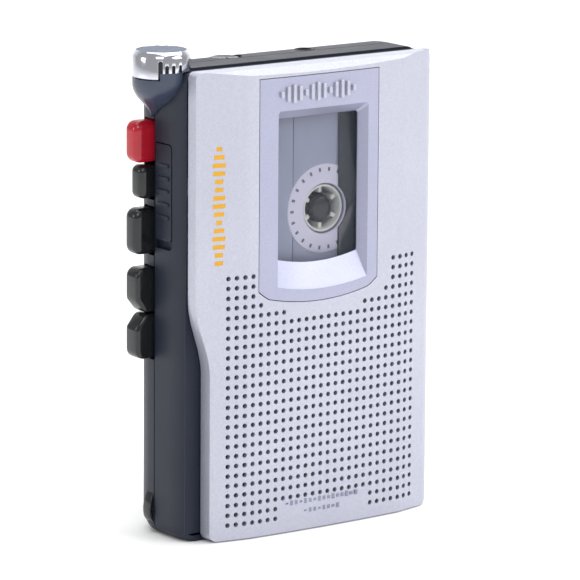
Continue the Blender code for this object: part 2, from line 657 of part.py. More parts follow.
def cassette_half(name, front):
    """One moulded half: a cup with the thicker nose at the tape edge, its holes and its openings."""
    way = -1 if front else 1
    split = CASSETTE_Y + way * 0.1
    thin = CASSETTE_Y + way * CASSETTE_THIN / 2
    thick = CASSETTE_Y + way * CASSETTE_THICK / 2
    low, high = CASSETTE_BOTTOM, CASSETTE_TOP

    def span(a, b):
        return (min(a, b), max(a, b))

    shell = box(name, (TAPE_EDGE, CASSETTE_RIGHT), span(split, thin), (low, high), "cassette")
    nose_half = CASSETTE_LENGTH / 2 - 17
    nose = [(TAPE_EDGE + 0.01, CASSETTE_MIDDLE - nose_half), (TAPE_EDGE + CASSETTE_THICK_ZONE, CASSETTE_MIDDLE - nose_half + 3),
            (TAPE_EDGE + CASSETTE_THICK_ZONE, CASSETTE_MIDDLE + nose_half - 3), (TAPE_EDGE + 0.01, CASSETTE_MIDDLE + nose_half)]
    join(shell, plate("nose", "Y", [nose], *span(thin - way, thick)))
    wall = CASSETTE_WALL
    cut(shell, box("inside", (TAPE_EDGE + wall, CASSETTE_RIGHT - wall), span(split - way, thin - way * wall),
                   (low + wall, high - wall)))
    for z in (SUPPLY_Z, TAKEUP_Z):
        cut(shell, cylinder("hub_hole", "Y", (HUB_X, z), HUB_BORE + 0.4, *span(split, thick + way), sides=20))
    for side in (-1, 1):
        cut(shell, cylinder("capstan_hole", "Y", (CAPSTAN_X, CASSETTE_MIDDLE + side * CAPSTAN_OFFSET), 2.2,
                            *span(split, thick + way), sides=16))
    reach = span(split - way, CASSETTE_Y + way * (HEAD_HALF + 0.4))
    for z, half in HEAD_OPENINGS:
        cut(shell, box("head_opening", (TAPE_EDGE - 1, TAPE_EDGE + wall + 1), reach, (z - half, z + half)))
    return shell


HEAD_HALF = 3.0
RECORD_HEAD_HALF = 5.0
ERASE_HEAD_HALF = 3.0
ERASE_HEAD_Z = CASSETTE_MIDDLE + 17.0
HEAD_OPENINGS = [(CASSETTE_MIDDLE, RECORD_HEAD_HALF + 1.5), (ERASE_HEAD_Z, ERASE_HEAD_HALF + 1.2),
                 (CASSETTE_MIDDLE - 17.0, ERASE_HEAD_HALF + 1.2), (CAPSTAN_Z, PINCH_RADIUS + 1.8),
                 (CASSETTE_MIDDLE + CAPSTAN_OFFSET, PINCH_RADIUS + 1.8)]


def tape_path():
    """The middle of the tape from the supply pack round both corner rollers to the take-up pack."""
    roller_x = TAPE_X + TAPE_THICKNESS / 2 + GAP + ROLLER_RADIUS
    reach = ROLLER_RADIUS + GAP + TAPE_THICKNESS / 2

    def run(pack_z, pack_radius, roller_z, way):
        pack = Vector((HUB_X, pack_z))
        roller = Vector((roller_x, roller_z))
        offset = pack_radius + GAP + TAPE_THICKNESS / 2
        line = pack - roller
        lean = math.asin((offset - reach) / line.length)
        facing = math.atan2(line.y, line.x) + way * (math.pi / 2 + lean)
        normal = Vector((math.cos(facing), math.sin(facing)))
        finish = math.pi
        points = [pack + normal * offset]
        for i in range(7):
            angle = facing + (finish * (1 if way > 0 else -1) - facing) * i / 6
            points.append(roller + reach * Vector((math.cos(angle), math.sin(angle))))
        return points

    upper = run(SUPPLY_Z, SMALL_PACK_RADIUS, CASSETTE_TOP - 6.5, 1)
    lower = run(TAKEUP_Z, FULL_PACK_RADIUS, CASSETTE_BOTTOM + 6.5, -1)
    return upper + list(reversed(lower)), roller_x


def ribbon_outline(path, thickness):
    left, right = [], []
    for i, point in enumerate(path):
        before = path[max(i - 1, 0)]
        after = path[min(i + 1, len(path) - 1)]
        along = (after - before).normalized()
        across = Vector((-along.y, along.x)) * thickness / 2
        left.append(tuple(point + across))
        right.append(tuple(point - across))
    return left + list(reversed(right))


def reel(side, z, pack_radius, body):
    """A hub with its six drive teeth, the tape wound on it, and the recorder's spindle through it."""
    bore = []
    for i in range(6):
        base = 2 * math.pi * i / 6 + math.pi / 6
        for turn, radius in ((-0.42, HUB_BORE), (-0.13, HUB_BORE), (-0.1, HUB_BORE - 1.3), (0.1, HUB_BORE - 1.3),
                             (0.13, HUB_BORE), (0.42, HUB_BORE)):
            bore.append((HUB_X + radius * math.cos(base + turn), z + radius * math.sin(base + turn)))
    half = CASSETTE_THIN / 2 - CASSETTE_WALL - 0.35
    hub = plate(side + "_hub", "Y", [circle(HUB_X, z, HUB_RADIUS, 24), bore], CASSETTE_Y - half, CASSETTE_Y + half,
                "white_plastic")
    pack = plate(side + "_tape_pack", "Y", [circle(HUB_X, z, pack_radius, 28), circle(HUB_X, z, HUB_RADIUS + 0.35, 24)],
                 CASSETTE_Y - TAPE_WIDTH / 2, CASSETTE_Y + TAPE_WIDTH / 2, "tape")
    front = CASSETTE_Y - CASSETTE_THIN / 2 + 0.6
    spindle = turned(side + "_spindle", "Y", (HUB_X, z), [
        (0.0, front), (1.2, front), (2.5, front + 1.4), (2.5, DECK_Y - 1.0), (4.2, DECK_Y - 0.9), (4.2, DECK_Y - GAP),
        (1.5, DECK_Y - GAP), (1.5, GEAR_Y + 2.2), (0.0, GEAR_Y + 2.2)], "key", sides=14)
    for i in range(3):
        fin = box("spindle_fin", (1.5, 3.3), (front + 1.6, DECK_Y - 1.2), (-0.45, 0.45))
        turn = Matrix.Rotation(2 * math.pi * i / 3 + math.radians(60), 4, "Y")
        fin.data.transform(Matrix.Translation(Vector((HUB_X, 0, z)) * MM) @ turn)
        join(spindle, fin)
    join(spindle, gear_wheel("reel_gear", (HUB_X, z), REEL_TEETH, REEL_PHASE))
    pivot(body, (HUB_X, 0, z), hub, pack, spindle)


def build_cassette():
    cassette_half("cassette_front_half", True)
    cassette_half("cassette_rear_half", False)
    path, roller_x = tape_path()
    plate("tape_run", "Y", [ribbon_outline(path, TAPE_THICKNESS)], CASSETTE_Y - TAPE_WIDTH / 2,
          CASSETTE_Y + TAPE_WIDTH / 2, "tape")
    inside = CASSETTE_THIN / 2 - CASSETTE_WALL - 0.1
    for name, z in (("upper_tape_roller", CASSETTE_TOP - 6.5), ("lower_tape_roller", CASSETTE_BOTTOM + 6.5)):
        cylinder(name, "Y", (roller_x, z), ROLLER_RADIUS, CASSETTE_Y - inside, CASSETTE_Y + inside, "white_plastic",
                 sides=20)
    reel("supply", SUPPLY_Z, SMALL_PACK_RADIUS, "supply_reel_spin")
    reel("takeup", TAKEUP_Z, FULL_PACK_RADIUS, "takeup_reel_spin")


# The drive ----------------------------------------------------------------------------------------


def gear_outline(centre, teeth, phase):
    """Straight-sided teeth with backlash: phase is the direction of the first tooth."""
    pitch = MODULE * teeth / 2
    rings = ((pitch - 1.2 * MODULE, 0.29), (pitch + 0.85 * MODULE, 0.1))
    points = []
    for i in range(teeth):
        base = phase + 2 * math.pi * i / teeth
        flank = [(r, -share) for r, share in rings] + [(r, share) for r, share in reversed(rings)]
        for radius, share in flank:
            angle = base + share * 2 * math.pi / teeth
            points.append((centre[0] + radius * math.cos(angle), centre[1] + radius * math.sin(angle)))
    return points


def gear_wheel(name, centre, teeth, phase, finish=None, bore=0.0):
    holes = [circle(*centre, bore, 20)] if bore else []
    return plate(name, "Y", [gear_outline(centre, teeth, phase)] + holes, GEAR_Y, GEAR_Y + GEAR_WIDTH, finish)


def idler_centre():
    """Where the idler meshes with both the flywheel's pinion and the take-up gear, on the lower side."""
    pinion = Vector((CAPSTAN_X, CAPSTAN_Z))
    takeup = Vector((HUB_X, TAKEUP_Z))
    near = MODULE * (PINION_TEETH + IDLER_TEETH) / 2
    far = MODULE * (REEL_TEETH + IDLER_TEETH) / 2
    line = takeup - pinion
    along = (line.length**2 + near**2 - far**2) / (2 * line.length)
    down = Vector((line.y, -line.x)).normalized()
    return pinion + line.normalized() * along + down * math.sqrt(near**2 - along**2)


IDLER = idler_centre()
TO_IDLER = math.atan2(IDLER.y - CAPSTAN_Z, IDLER.x - CAPSTAN_X)
IDLER_PHASE = TO_IDLER + math.pi + math.pi / IDLER_TEETH
TO_TAKEUP = math.atan2(TAKEUP_Z - IDLER.y, HUB_X - IDLER.x)
MESH_SHARE = ((TO_TAKEUP - IDLER_PHASE) / (2 * math.pi / IDLER_TEETH)) % 1.0
REEL_PHASE = TO_TAKEUP + math.pi + (MESH_SHARE + 0.5) * 2 * math.pi / REEL_TEETH


def build_drive():
    capstan = (CAPSTAN_X, CAPSTAN_Z)
    rim, groove = FLYWHEEL_RADIUS, FLYWHEEL_RADIUS - 0.9
    y0, y1 = FLYWHEEL_Y, FLYWHEEL_Y + FLYWHEEL_WIDTH
    flywheel = turned("flywheel", "Y", capstan, [
        (CAPSTAN_RADIUS + 0.15, y0), (rim, y0), (rim, y0 + 0.5), (groove, y0 + 0.6), (groove, y1 - 0.6), (rim, y1 - 0.5),
        (rim, y1), (3.0, y1), (3.0, GEAR_Y + 0.2), (CAPSTAN_RADIUS + 0.15, GEAR_Y + 0.2)], "brass", sides=28)
    shaft = cylinder("capstan_shaft", "Y", capstan, CAPSTAN_RADIUS, CASSETTE_Y - 5.0, GEAR_Y + GEAR_WIDTH + 1.5,
                     "steel", sides=20)
    join(flywheel, gear_wheel("drive_pinion", capstan, PINION_TEETH, TO_IDLER, bore=CAPSTAN_RADIUS + 0.15))
    pivot("flywheel_spin", (CAPSTAN_X, 0, CAPSTAN_Z), flywheel, shaft)
    idler = gear_wheel("idler_gear", tuple(IDLER), IDLER_TEETH, IDLER_PHASE, "white_plastic", 1.2)
    pivot("idler_gear_spin", (IDLER.x, 0, IDLER.y), idler)
    bush = [(CAPSTAN_RADIUS + 0.15, DECK_Y), (2.3, DECK_Y), (2.3, DECK_BACK + 0.2),
            (CAPSTAN_RADIUS + 0.15, DECK_BACK + 0.2)]
    turned("capstan_bush", "Y", capstan, bush, "brass", sides=20)
    motor = (MOTOR_X, MOTOR_Z)
    motor_front = GEAR_Y - 0.2
    can = turned("motor", "Y", motor, [
        (1.0, motor_front), (MOTOR_RADIUS, motor_front), (MOTOR_RADIUS, motor_front + MOTOR_LENGTH - 0.5),
        (MOTOR_RADIUS - 0.5, motor_front + MOTOR_LENGTH), (1.0, motor_front + MOTOR_LENGTH)], "steel", sides=20)
    pulley = turned("motor_pulley", "Y", motor, [
        (0.0, y0 + 0.1), (MOTOR_PULLEY, y0 + 0.1), (MOTOR_PULLEY, y0 + 0.5), (MOTOR_PULLEY - 0.7, y0 + 0.6),
        (MOTOR_PULLEY - 0.7, y1 - 0.6), (MOTOR_PULLEY, y1 - 0.5), (MOTOR_PULLEY, y1 - 0.1), (0.8, y1 - 0.1),
        (0.8, motor_front + MOTOR_LENGTH - 1), (0.0, motor_front + MOTOR_LENGTH - 1)], "brass", sides=20)
    pivot("motor_spin", (MOTOR_X, 0, MOTOR_Z), pulley)
    build_belt(capstan, motor, groove + 0.15, MOTOR_PULLEY - 0.7 + 0.15)


def build_belt(a, b, radius_a, radius_b):
    """A flat belt in both grooves, a little clear of them."""

    def loop(extra):
        start, end = Vector(a), Vector(b)
        line = end - start
        lean = math.acos((radius_a - radius_b) / line.length)
        facing = math.atan2(line.y, line.x)
        points = []
        for i in range(17):
            angle = facing + lean + (2 * math.pi - 2 * lean) * i / 16
            points.append(tuple(start + (radius_a + extra) * Vector((math.cos(angle), math.sin(angle)))))
        for i in range(9):
            angle = facing - lean + 2 * lean * i / 8
            points.append(tuple(end + (radius_b + extra) * Vector((math.cos(angle), math.sin(angle)))))
        return points

    middle = FLYWHEEL_Y + FLYWHEEL_WIDTH / 2
    return plate("drive_belt", "Y", [loop(BELT / 2), loop(0.0)], middle - BELT / 2, middle + BELT / 2, "rubber")


def build_deck():
    left, right = LEFT + WALL + GAP, RIGHT - WALL - GAP
    low, high = KEY_ZONE
    key_left = SPRING_X + 0.9
    outline = [(left + 3, WALL + 3), (right - 3, WALL + 3), (right, WALL + 6), (right, TOP - 18), (key_left, TOP - 18),
               (key_left, low - 1.0), (left, low - 1.0), (left, WALL + 6)]
    holes = [circle(HUB_X, SUPPLY_Z, 2.0, 20), circle(HUB_X, TAKEUP_Z, 2.0, 20), circle(CAPSTAN_X, CAPSTAN_Z, 2.6, 20)]
    deck = plate("deck_plate", "Y", [outline] + holes, DECK_Y, DECK_BACK, "steel")
    for x, z in SCREWS:
        post = turned("standoff", "Y", (x, z), [
            (SCREW_RADIUS + GAP, DECK_BACK - 0.2), (STANDOFF_RADIUS, DECK_BACK - 0.2),
            (STANDOFF_RADIUS, BACK - WALL - 2 * GAP), (SCREW_RADIUS + GAP, BACK - WALL - 2 * GAP)], sides=16)
        join(deck, post)
    bracket = box("motor_lug", (MOTOR_X - 2, MOTOR_X + 2), (DECK_Y + 0.1, GEAR_Y - 0.5), (WALL + 3.2, WALL + 4.4))
    join(deck, bracket)
    axle = cylinder("idler_axle", "Y", tuple(IDLER), 0.9, DECK_Y + 0.2, GEAR_Y + GEAR_WIDTH + 0.8, sides=16)
    stud = turned("guide_stud", "Y", STUD, [
        (0.0, HEAD_PLATE_Y - 1.0), (1.5, HEAD_PLATE_Y - 1.0), (1.5, HEAD_PLATE_Y - GAP), (0.7, HEAD_PLATE_Y - GAP),
        (0.7, DECK_Y + 0.2), (0.0, DECK_Y + 0.2)], sides=16)
    join(deck, axle, stud)


def build_heads():
    rest = TAPE_EDGE - 0.4
    low, high = CAPSTAN_Z - 4.5, ERASE_HEAD_Z + 5.0
    back = LEFT + WALL + 0.4
    outline = [(back, low), (rest, low), (rest, high), (back, high)]
    plate_y = (HEAD_PLATE_Y, HEAD_PLATE_Y + HEAD_PLATE_THICKNESS)
    head_plate = plate("head_plate", "Y", [outline], *plate_y, "steel")
    cut(head_plate, box("stud_slot", (STUD[0] - HEAD_TRAVEL - 1.0, STUD[0] + 1.0), (plate_y[0] - 1, plate_y[1] + 1),
                        (STUD[1] - 1.0, STUD[1] + 1.0)))
    items = [head_plate]
    for name, z, half in (("record_play_head", CASSETTE_MIDDLE, RECORD_HEAD_HALF),
                          ("erase_head", ERASE_HEAD_Z, ERASE_HEAD_HALF)):
        head = box(name, (back + 0.1, rest), (CASSETTE_Y - HEAD_HALF, CASSETTE_Y + HEAD_HALF), (z - half, z + half),
                   "chrome", bevel=0.5)
        foot = box("head_foot", (back, back + 0.4), (CASSETTE_Y + HEAD_HALF - 1.2, HEAD_PLATE_Y - 0.1),
                   (z - half + 0.8, z + half - 0.8))
        items.append(join(head, foot))
    pinch_x = back + PINCH_RADIUS - 0.1
    arm_y = CASSETTE_Y + HEAD_HALF - 0.6
    span = (CAPSTAN_Z - 1.0, CAPSTAN_Z + 1.0)
    yoke = box("pinch_arm", (back, pinch_x + 0.9), (arm_y, arm_y + 0.7), span, "steel")
    join(yoke, box("pinch_post", (back, back + 0.4), (arm_y + 0.2, HEAD_PLATE_Y - 0.1), span),
         cylinder("pinch_axle", "Y", (pinch_x, CAPSTAN_Z), 0.5, CASSETTE_Y - HEAD_HALF + 0.8, arm_y + 0.3, sides=12))
    items.append(yoke)
    pivot("head_plate_slide", (back, 0, CASSETTE_MIDDLE), *items)
    near, far = CASSETTE_Y - HEAD_HALF + 0.6, arm_y - 0.2
    roller = turned("pinch_roller", "Y", (pinch_x, CAPSTAN_Z), [
        (0.65, near), (PINCH_RADIUS - 0.3, near), (PINCH_RADIUS, near + 0.3), (PINCH_RADIUS, far - 0.3),
        (PINCH_RADIUS - 0.3, far), (0.65, far)], "rubber", sides=20)
    pivot("pinch_roller_spin", (pinch_x, 0, CAPSTAN_Z), roller)


# Keys and controls --------------------------------------------------------------------------------


def build_keys():
    for name, (low, length, proud, depth, stop_side) in KEYS.items():
        finish = "record" if name == "record_key" else "key"
        z0, z1 = low, low + length
        slope = 0.8 if proud > 4 else 0.5
        lower = 2.2 if name == "rewind_key" else slope
        upper = 2.2 if name == "forward_key" else slope
        stem = LEFT + WALL + KEY_STEM
        outline = [(stem, z0), (stem, z1), (LEFT - proud + upper, z1), (LEFT - proud, z1 - upper),
                   (LEFT - proud, z0 + lower), (LEFT - proud + lower, z0)]
        key = plate(name, "Y", [outline], KEY_Y, KEY_Y + depth, finish)
        shift = KEY_STOP * stop_side
        stop = box("key_stop", (stem - 0.9, stem - 0.05), (KEY_Y + 0.3, KEY_Y + 2.4), (z0 + 0.3 + shift, z1 - 0.3 + shift))
        join(key, stop)
        pivot(name + "_press", (LEFT, KEY_Y + depth / 2, (z0 + z1) / 2), key)
    y0, y1 = KEY_Y + 0.6, KEY_Y + 6.0
    comb = [(y0, KEY_ZONE[0] - 1), (y1, KEY_ZONE[0] - 1), (y1, KEY_ZONE[1] + 1), (y0, KEY_ZONE[1] + 1)]
    slots = []
    for low, length, *_ in KEYS.values():
        slots.append(rectangle((y0 + 0.8, y0 + 1.3), (low + 1.0, low + length - 1.0)))
        slots.append(rectangle((y1 - 1.3, y1 - 0.8), (low + 1.0, low + length - 1.0)))
    plate("key_spring", "X", [comb] + slots, SPRING_X, SPRING_X + 0.4, "steel")


def build_pause_slider():
    y0, y1 = KEY_Y - 0.8 - PAUSE_WIDTH + GAP, KEY_Y - 0.8 - GAP
    z0, z1 = PAUSE_BOTTOM + PAUSE_TRAVEL + GAP, PAUSE_BOTTOM + PAUSE_LENGTH - GAP
    slider = box("pause_slider", (LEFT - 0.1, LEFT + WALL - 0.2), (y0, y1), (z0, z1), "key")
    for i in range(5):
        z = z1 - 5.2 - 3.1 * i
        join(slider, box("slider_rib", (LEFT - 0.5, LEFT + 0.3), (y0 + 1.0, y1 - 1.0), (z - 0.4, z + 0.4)))
    pivot("pause_slide", (LEFT, (y0 + y1) / 2, (z0 + z1) / 2), slider)


def build_volume():
    """A knurled knob sunk in the top, over its control."""
    centre = (VOLUME_X, VOLUME_Y)
    teeth = 24
    outline = []
    for i in range(2 * teeth):
        radius, turn = VOLUME_RADIUS - 0.3 * (i % 2), math.pi * i / teeth
        outline.append((VOLUME_X + radius * math.cos(turn), VOLUME_Y + radius * math.sin(turn)))
    knob = plate("volume_wheel", "Z", [outline], VOLUME_LOW, VOLUME_TOP, "key")
    pivot("volume_wheel_turn", (VOLUME_X, VOLUME_Y, VOLUME_LOW), knob)
    cylinder("volume_control", "Z", centre, 3.4, CASSETTE_TOP + 0.7, VOLUME_LOW - GAP, "white_plastic")


def build_microphone():
    """The ring stands on the case's top corner and reaches down beside its left wall, onto the horn."""
    centre = (MIC_X, MIC_Y)
    pod = turned("mic_pod", "Z", centre, mic_pod_profile(), "shell", sides=20)
    cut(pod, box("case_side", (LEFT - GAP, LEFT + 30), (MIC_Y - 10, MIC_Y + 10), (TOP - 30, TOP + 5)))
    inner = MIC_RADIUS - 1.0
    housing = turned("mic_housing", "Z", centre, [
        (inner, MIC_BOTTOM), (MIC_RADIUS, MIC_BOTTOM), (MIC_RADIUS, MIC_TOP - 0.8), (MIC_RADIUS - 0.7, MIC_TOP),
        (inner, MIC_TOP)], "chrome", sides=28)
    cut(housing, box("case_corner", (LEFT - GAP, LEFT + 30), (MIC_Y - 10, MIC_Y + 10), (TOP - 30, TOP + GAP)))
    grille_low = MIC_TOP - 0.9
    cylinder("mic_grille", "Z", centre, inner - GAP, grille_low, grille_low + 0.6, "steel", sides=20)
    floor = TOP + GAP + 0.1
    turned("mic_cushion", "Z", centre, [
        (3.3, floor), (inner - GAP, floor), (inner - GAP, floor + 1.6), (3.3, floor + 1.6)], "rubber", sides=20)
    cylinder("mic_capsule", "Z", centre, 3.0, floor, floor + 2.8, "steel", sides=20)


def build_jack():
    turned("earphone_jack", "Z", (JACK_X, JACK_Y), [
        (JACK_BORE, TOP - WALL - 13), (JACK_RADIUS, TOP - WALL - 13), (JACK_RADIUS, TOP - WALL - 2 * GAP),
        (2.35, TOP - WALL - 2 * GAP), (2.35, TOP + 0.15), (JACK_BORE, TOP + 0.15)], "steel", sides=20)


def build_electronics():
    outline = rounded((-28.0, 28.0), (PCB_BOTTOM, PCB_TOP), 6.0)
    holes = [circle(x, z, STANDOFF_RADIUS + 0.5, 16) for x, z in SCREWS if PCB_BOTTOM < z < PCB_TOP]
    board = plate("circuit_board", "Y", [outline] + holes, PCB_Y, PCB_Y + PCB_THICKNESS, "board")
    chips = [((12, 18), (76, 86), 1.6), ((-12, -4), (74, 80), 1.4), ((-24, -19), (73, 79), 2.2), ((20, 24), (100, 104), 2.0)]
    for x, z, height in chips:
        join(board, box("chip", x, (PCB_Y - height, PCB_Y + 0.2), z))


def build_power():
    half = HOLDER_LENGTH / 2
    ring = [rectangle((-half - 1.2, half + 1.2), (HOLDER_BOTTOM - 1.2, HOLDER_TOP + 1.2)),
            rectangle((-half, half), (HOLDER_BOTTOM, HOLDER_TOP))]
    plate("battery_holder", "Y", ring, DECK_BACK + 0.4, BACK - WALL - 3.6, "shell")
    for i, (name, z) in enumerate(zip(("lower_cell", "upper_cell"), CELL_Z)):
        way = 1 if i else -1
        start = -way * (half - 4.6)
        end = start + way * CELL_LENGTH
        turned(name, "X", (CELL_Y, z), [
            (0.0, start), (CELL_RADIUS, start), (CELL_RADIUS, end), (1.9, end), (1.9, end + way * 1.1),
            (0.0, end + way * 1.1)], "chrome", sides=18)
        coil(f"{name}_spring", -way * (half - 0.6), -way * (half - 4.2), z)


def coil(name, start, end, z):
    """A conical contact spring of three turns, a wire along a helix."""
    curve = bpy.data.curves.new(name, "CURVE")
    curve.dimensions = "3D"
    curve.bevel_depth = 0.3 * MM
    curve.bevel_resolution = 0
    curve.use_fill_caps = True
    spline = curve.splines.new("POLY")
    count = 30
    spline.points.add(count)
    for i, point in enumerate(spline.points):
        share = i / count
        radius = 3.6 - 1.6 * share
        angle = 2 * math.pi * 3 * share
        place = Vector((start + (end - start) * share, CELL_Y + radius * math.cos(angle), z + radius * math.sin(angle)))
        point.co = (*(place * MM), 1.0)
    item = bpy.data.objects.new(name, curve)
    item.data.materials.append(material("steel"))
    parts.objects.link(item)


def build_lug():
    """A small lobe for a wrist strap, low on the left rear corner, with its eye."""
    y = (SEAM + 0.4, SEAM + 3.4)
    lobe = [(LEFT + 1.2, 2.6), (LEFT + 1.2, 11.4), (LEFT - 0.1, 9.4), (LEFT - 0.9, 7.2), (LEFT - 1.0, 5.2),
            (LEFT - 0.3, 3.2)]
    join(bpy.data.objects["rear_case"], plate("strap_lug", "Y", [lobe], *y))
    return cut(bpy.data.objects["rear_case"], cylinder("lug_eye", "Y", (LEFT - 0.2, 6.0), 0.5, y[0] - 1,
                                                    y[1] + 1, sides=12))


def main():
    clear_scene()
    build_front_case()
    build_rear_case()
    build_lug()
    build_battery_door()
    build_screws()
    build_lid()
    build_cassette()
    build_drive()
    build_deck()
    build_heads()
    build_keys()
    build_pause_slider()
    build_volume()
    build_microphone()
    build_jack()
    build_electronics()
    build_power()


main()
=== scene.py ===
"""Finished look of the cassette dictation recorder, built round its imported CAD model.

Shapes are worked out in millimetres in the CAD model's own frame: X to the right, Y to the back, Z up.
They become metres when a mesh is made.
"""

import json
import math

import bmesh
import bpy
from mathutils import Matrix, Vector

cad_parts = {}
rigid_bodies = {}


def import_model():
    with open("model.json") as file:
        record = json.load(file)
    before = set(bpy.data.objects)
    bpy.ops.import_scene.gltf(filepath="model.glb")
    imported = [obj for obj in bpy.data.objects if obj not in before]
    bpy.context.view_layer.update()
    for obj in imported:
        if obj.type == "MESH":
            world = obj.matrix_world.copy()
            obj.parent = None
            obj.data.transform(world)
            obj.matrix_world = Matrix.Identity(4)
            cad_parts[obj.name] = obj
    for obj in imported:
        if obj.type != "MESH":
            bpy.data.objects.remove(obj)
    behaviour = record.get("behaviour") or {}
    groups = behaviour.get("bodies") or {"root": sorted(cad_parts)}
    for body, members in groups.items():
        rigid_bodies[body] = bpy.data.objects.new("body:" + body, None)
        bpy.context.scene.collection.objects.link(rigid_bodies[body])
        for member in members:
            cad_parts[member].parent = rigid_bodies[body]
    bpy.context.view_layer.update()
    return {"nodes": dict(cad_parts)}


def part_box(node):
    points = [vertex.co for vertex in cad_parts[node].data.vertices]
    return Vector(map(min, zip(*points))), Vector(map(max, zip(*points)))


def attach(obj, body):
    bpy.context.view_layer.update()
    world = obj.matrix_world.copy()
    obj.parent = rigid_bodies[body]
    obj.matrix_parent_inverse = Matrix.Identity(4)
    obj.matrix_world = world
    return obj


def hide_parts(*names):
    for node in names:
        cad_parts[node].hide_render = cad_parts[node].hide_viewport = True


for item in list(bpy.data.objects):
    bpy.data.objects.remove(item)
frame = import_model()
NODES = frame["nodes"]
MM = 0.001


def corners(node):
    """A CAD node's lowest and highest corners, in millimetres."""
    low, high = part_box(node)
    return low / MM, high / MM


# Sizes taken from the frame -------------------------------------------------------------------------

CASE_HIGH = corners("rear_case")[1]
FRONT_LOW, FRONT_HIGH = corners("front_case")
LID_LOW = corners("lid_shell")[0]
BEZEL_LOW, BEZEL_HIGH = corners("window_bezel")
PANE_LOW, PANE_HIGH = corners("window_pane")
DOOR_LOW, DOOR_HIGH = corners("battery_door")
RING_LOW, RING_HIGH = corners("mic_housing")
POD_LOW, POD_HIGH = corners("mic_pod")
LEFT, RIGHT, TOP = FRONT_LOW.x, FRONT_HIGH.x, FRONT_HIGH.z
FRONT, BACK = LID_LOW.y, CASE_HIGH.y
PARTING = FRONT + 6.0
FRONT_FACE = PARTING + 0.15
LID_REAR = PARTING - 0.15
SEAM = FRONT_HIGH.y + 0.15
WALL = 1.4
SIDE_ROUND, TOP_ROUND, BOTTOM_ROUND, CORNER_ROUND = 12.0, 9.0, 11.0, 3.0
SHOULDER_DEPTH, SHOULDER_INSET = 5.6, 1.7
LID_LEFT, LID_BOTTOM = LID_LOW.x, LID_LOW.z
STEP, STEP_LOW, STEP_HIGH = 3.8, 40.5, 59.0
HINGE = (RIGHT - 1.1, PARTING - 0.35)
EARS = (2.9, TOP - 4.9)
BEZEL_X = (BEZEL_LOW.x + BEZEL_HIGH.x) / 2
WINDOW_X = (PANE_LOW.x + PANE_HIGH.x) / 2
HUB = (5.3, 77.05)
TAKEUP = (5.3, 34.55)
MIC = (LEFT - 0.6, PARTING + 7.95)
MIC_ROUND = (RING_HIGH.y - RING_LOW.y) / 2
VOLUME = (-12.8, 6.9)
JACK = (9.5, 5.1)
SCREWS = [(x, z) for x in (-23.0, 23.0) for z in (12.5, 92.0)]
GRILLE_ROWS = [4, 4, 4, 5, 8] + [13] * 19 + [7, 7]
GRILLE_COLUMNS = 26


# Materials ------------------------------------------------------------------------------------------


def linear(code):
    """An sRGB hex colour as the linear colour that a shader takes."""
    shares = [int(code[i:i + 2], 16) / 255 for i in (0, 2, 4)]
    return tuple(s / 12.92 if s <= 0.04045 else ((s + 0.055) / 1.055) ** 2.4 for s in shares) + (1.0,)


def add(tree, kind, settings=None, links=None):
    """Adds one node, sets its properties, and sets or links its sockets."""
    made = tree.nodes.new(kind)
    for name, value in (settings or {}).items():
        setattr(made, name, value)
    for name, value in (links or {}).items():
        socket = made.inputs[name]
        if isinstance(value, bpy.types.NodeSocket):
            tree.links.new(value, socket)
        else:
            socket.default_value = value
    return made


def surface(name, colour, roughness, shade=None, cloud=40.0, grain=None, stretch=(1, 1, 1), flake=None,
            wander=0.05, **sockets):
    """A finish whose colour drifts over cloud millimetres and whose surface has a grain of (size, height).

    flake is (size, share) for metal flakes in a paint. stretch draws the grain out along an axis. The other
    arguments are shader sockets that are the same all over the surface.
    """
    made = bpy.data.materials.new(name)
    made.use_nodes = True
    tree = made.node_tree
    tree.nodes.clear()
    place = add(tree, "ShaderNodeTexCoord").outputs["Object"]
    drift = add(tree, "ShaderNodeTexNoise", links={"Vector": place, "Scale": 1 / (cloud * MM), "Detail": 3.0})
    dark = linear(shade or colour)
    tint = add(tree, "ShaderNodeMix", {"data_type": "RGBA"}, {0: drift.outputs["Fac"], 6: linear(colour), 7: dark})
    colour_out = tint.outputs[2]
    if flake:
        size, share = flake
        cells = add(tree, "ShaderNodeTexVoronoi", links={"Vector": place, "Scale": 1 / (size * MM)})
        ramp = add(tree, "ShaderNodeMapRange", links={
            "Value": cells.outputs["Color"], "From Min": 0.0, "From Max": 1.0,
            "To Min": 1 - share, "To Max": 1 + share})
        lit = add(tree, "ShaderNodeMix", {"data_type": "RGBA", "blend_type": "MULTIPLY"},
                  {0: 1.0, 6: colour_out, 7: ramp.outputs["Result"]})
        colour_out = lit.outputs[2]
    polish = add(tree, "ShaderNodeMapRange", links={
        "Value": drift.outputs["Fac"], "From Min": 0.3, "From Max": 0.7,
        "To Min": max(roughness - wander, 0.02), "To Max": roughness + wander})
    links = {"Base Color": colour_out, "Roughness": polish.outputs["Result"], **sockets}
    if grain:
        size, height = grain
        drawn = add(tree, "ShaderNodeMapping", links={"Vector": place, "Scale": stretch})
        texture = add(tree, "ShaderNodeTexNoise", links={
            "Vector": drawn.outputs["Vector"], "Scale": 1 / (size * MM), "Detail": 2.0})
        bump = add(tree, "ShaderNodeBump", links={
            "Strength": 1.0, "Distance": height * MM, "Height": texture.outputs["Fac"]})
        links["Normal"] = bump.outputs["Normal"]
    shader = add(tree, "ShaderNodeBsdfPrincipled", links=links)
    out = add(tree, "ShaderNodeOutputMaterial")
    tree.links.new(shader.outputs["BSDF"], out.inputs["Surface"])
    return made


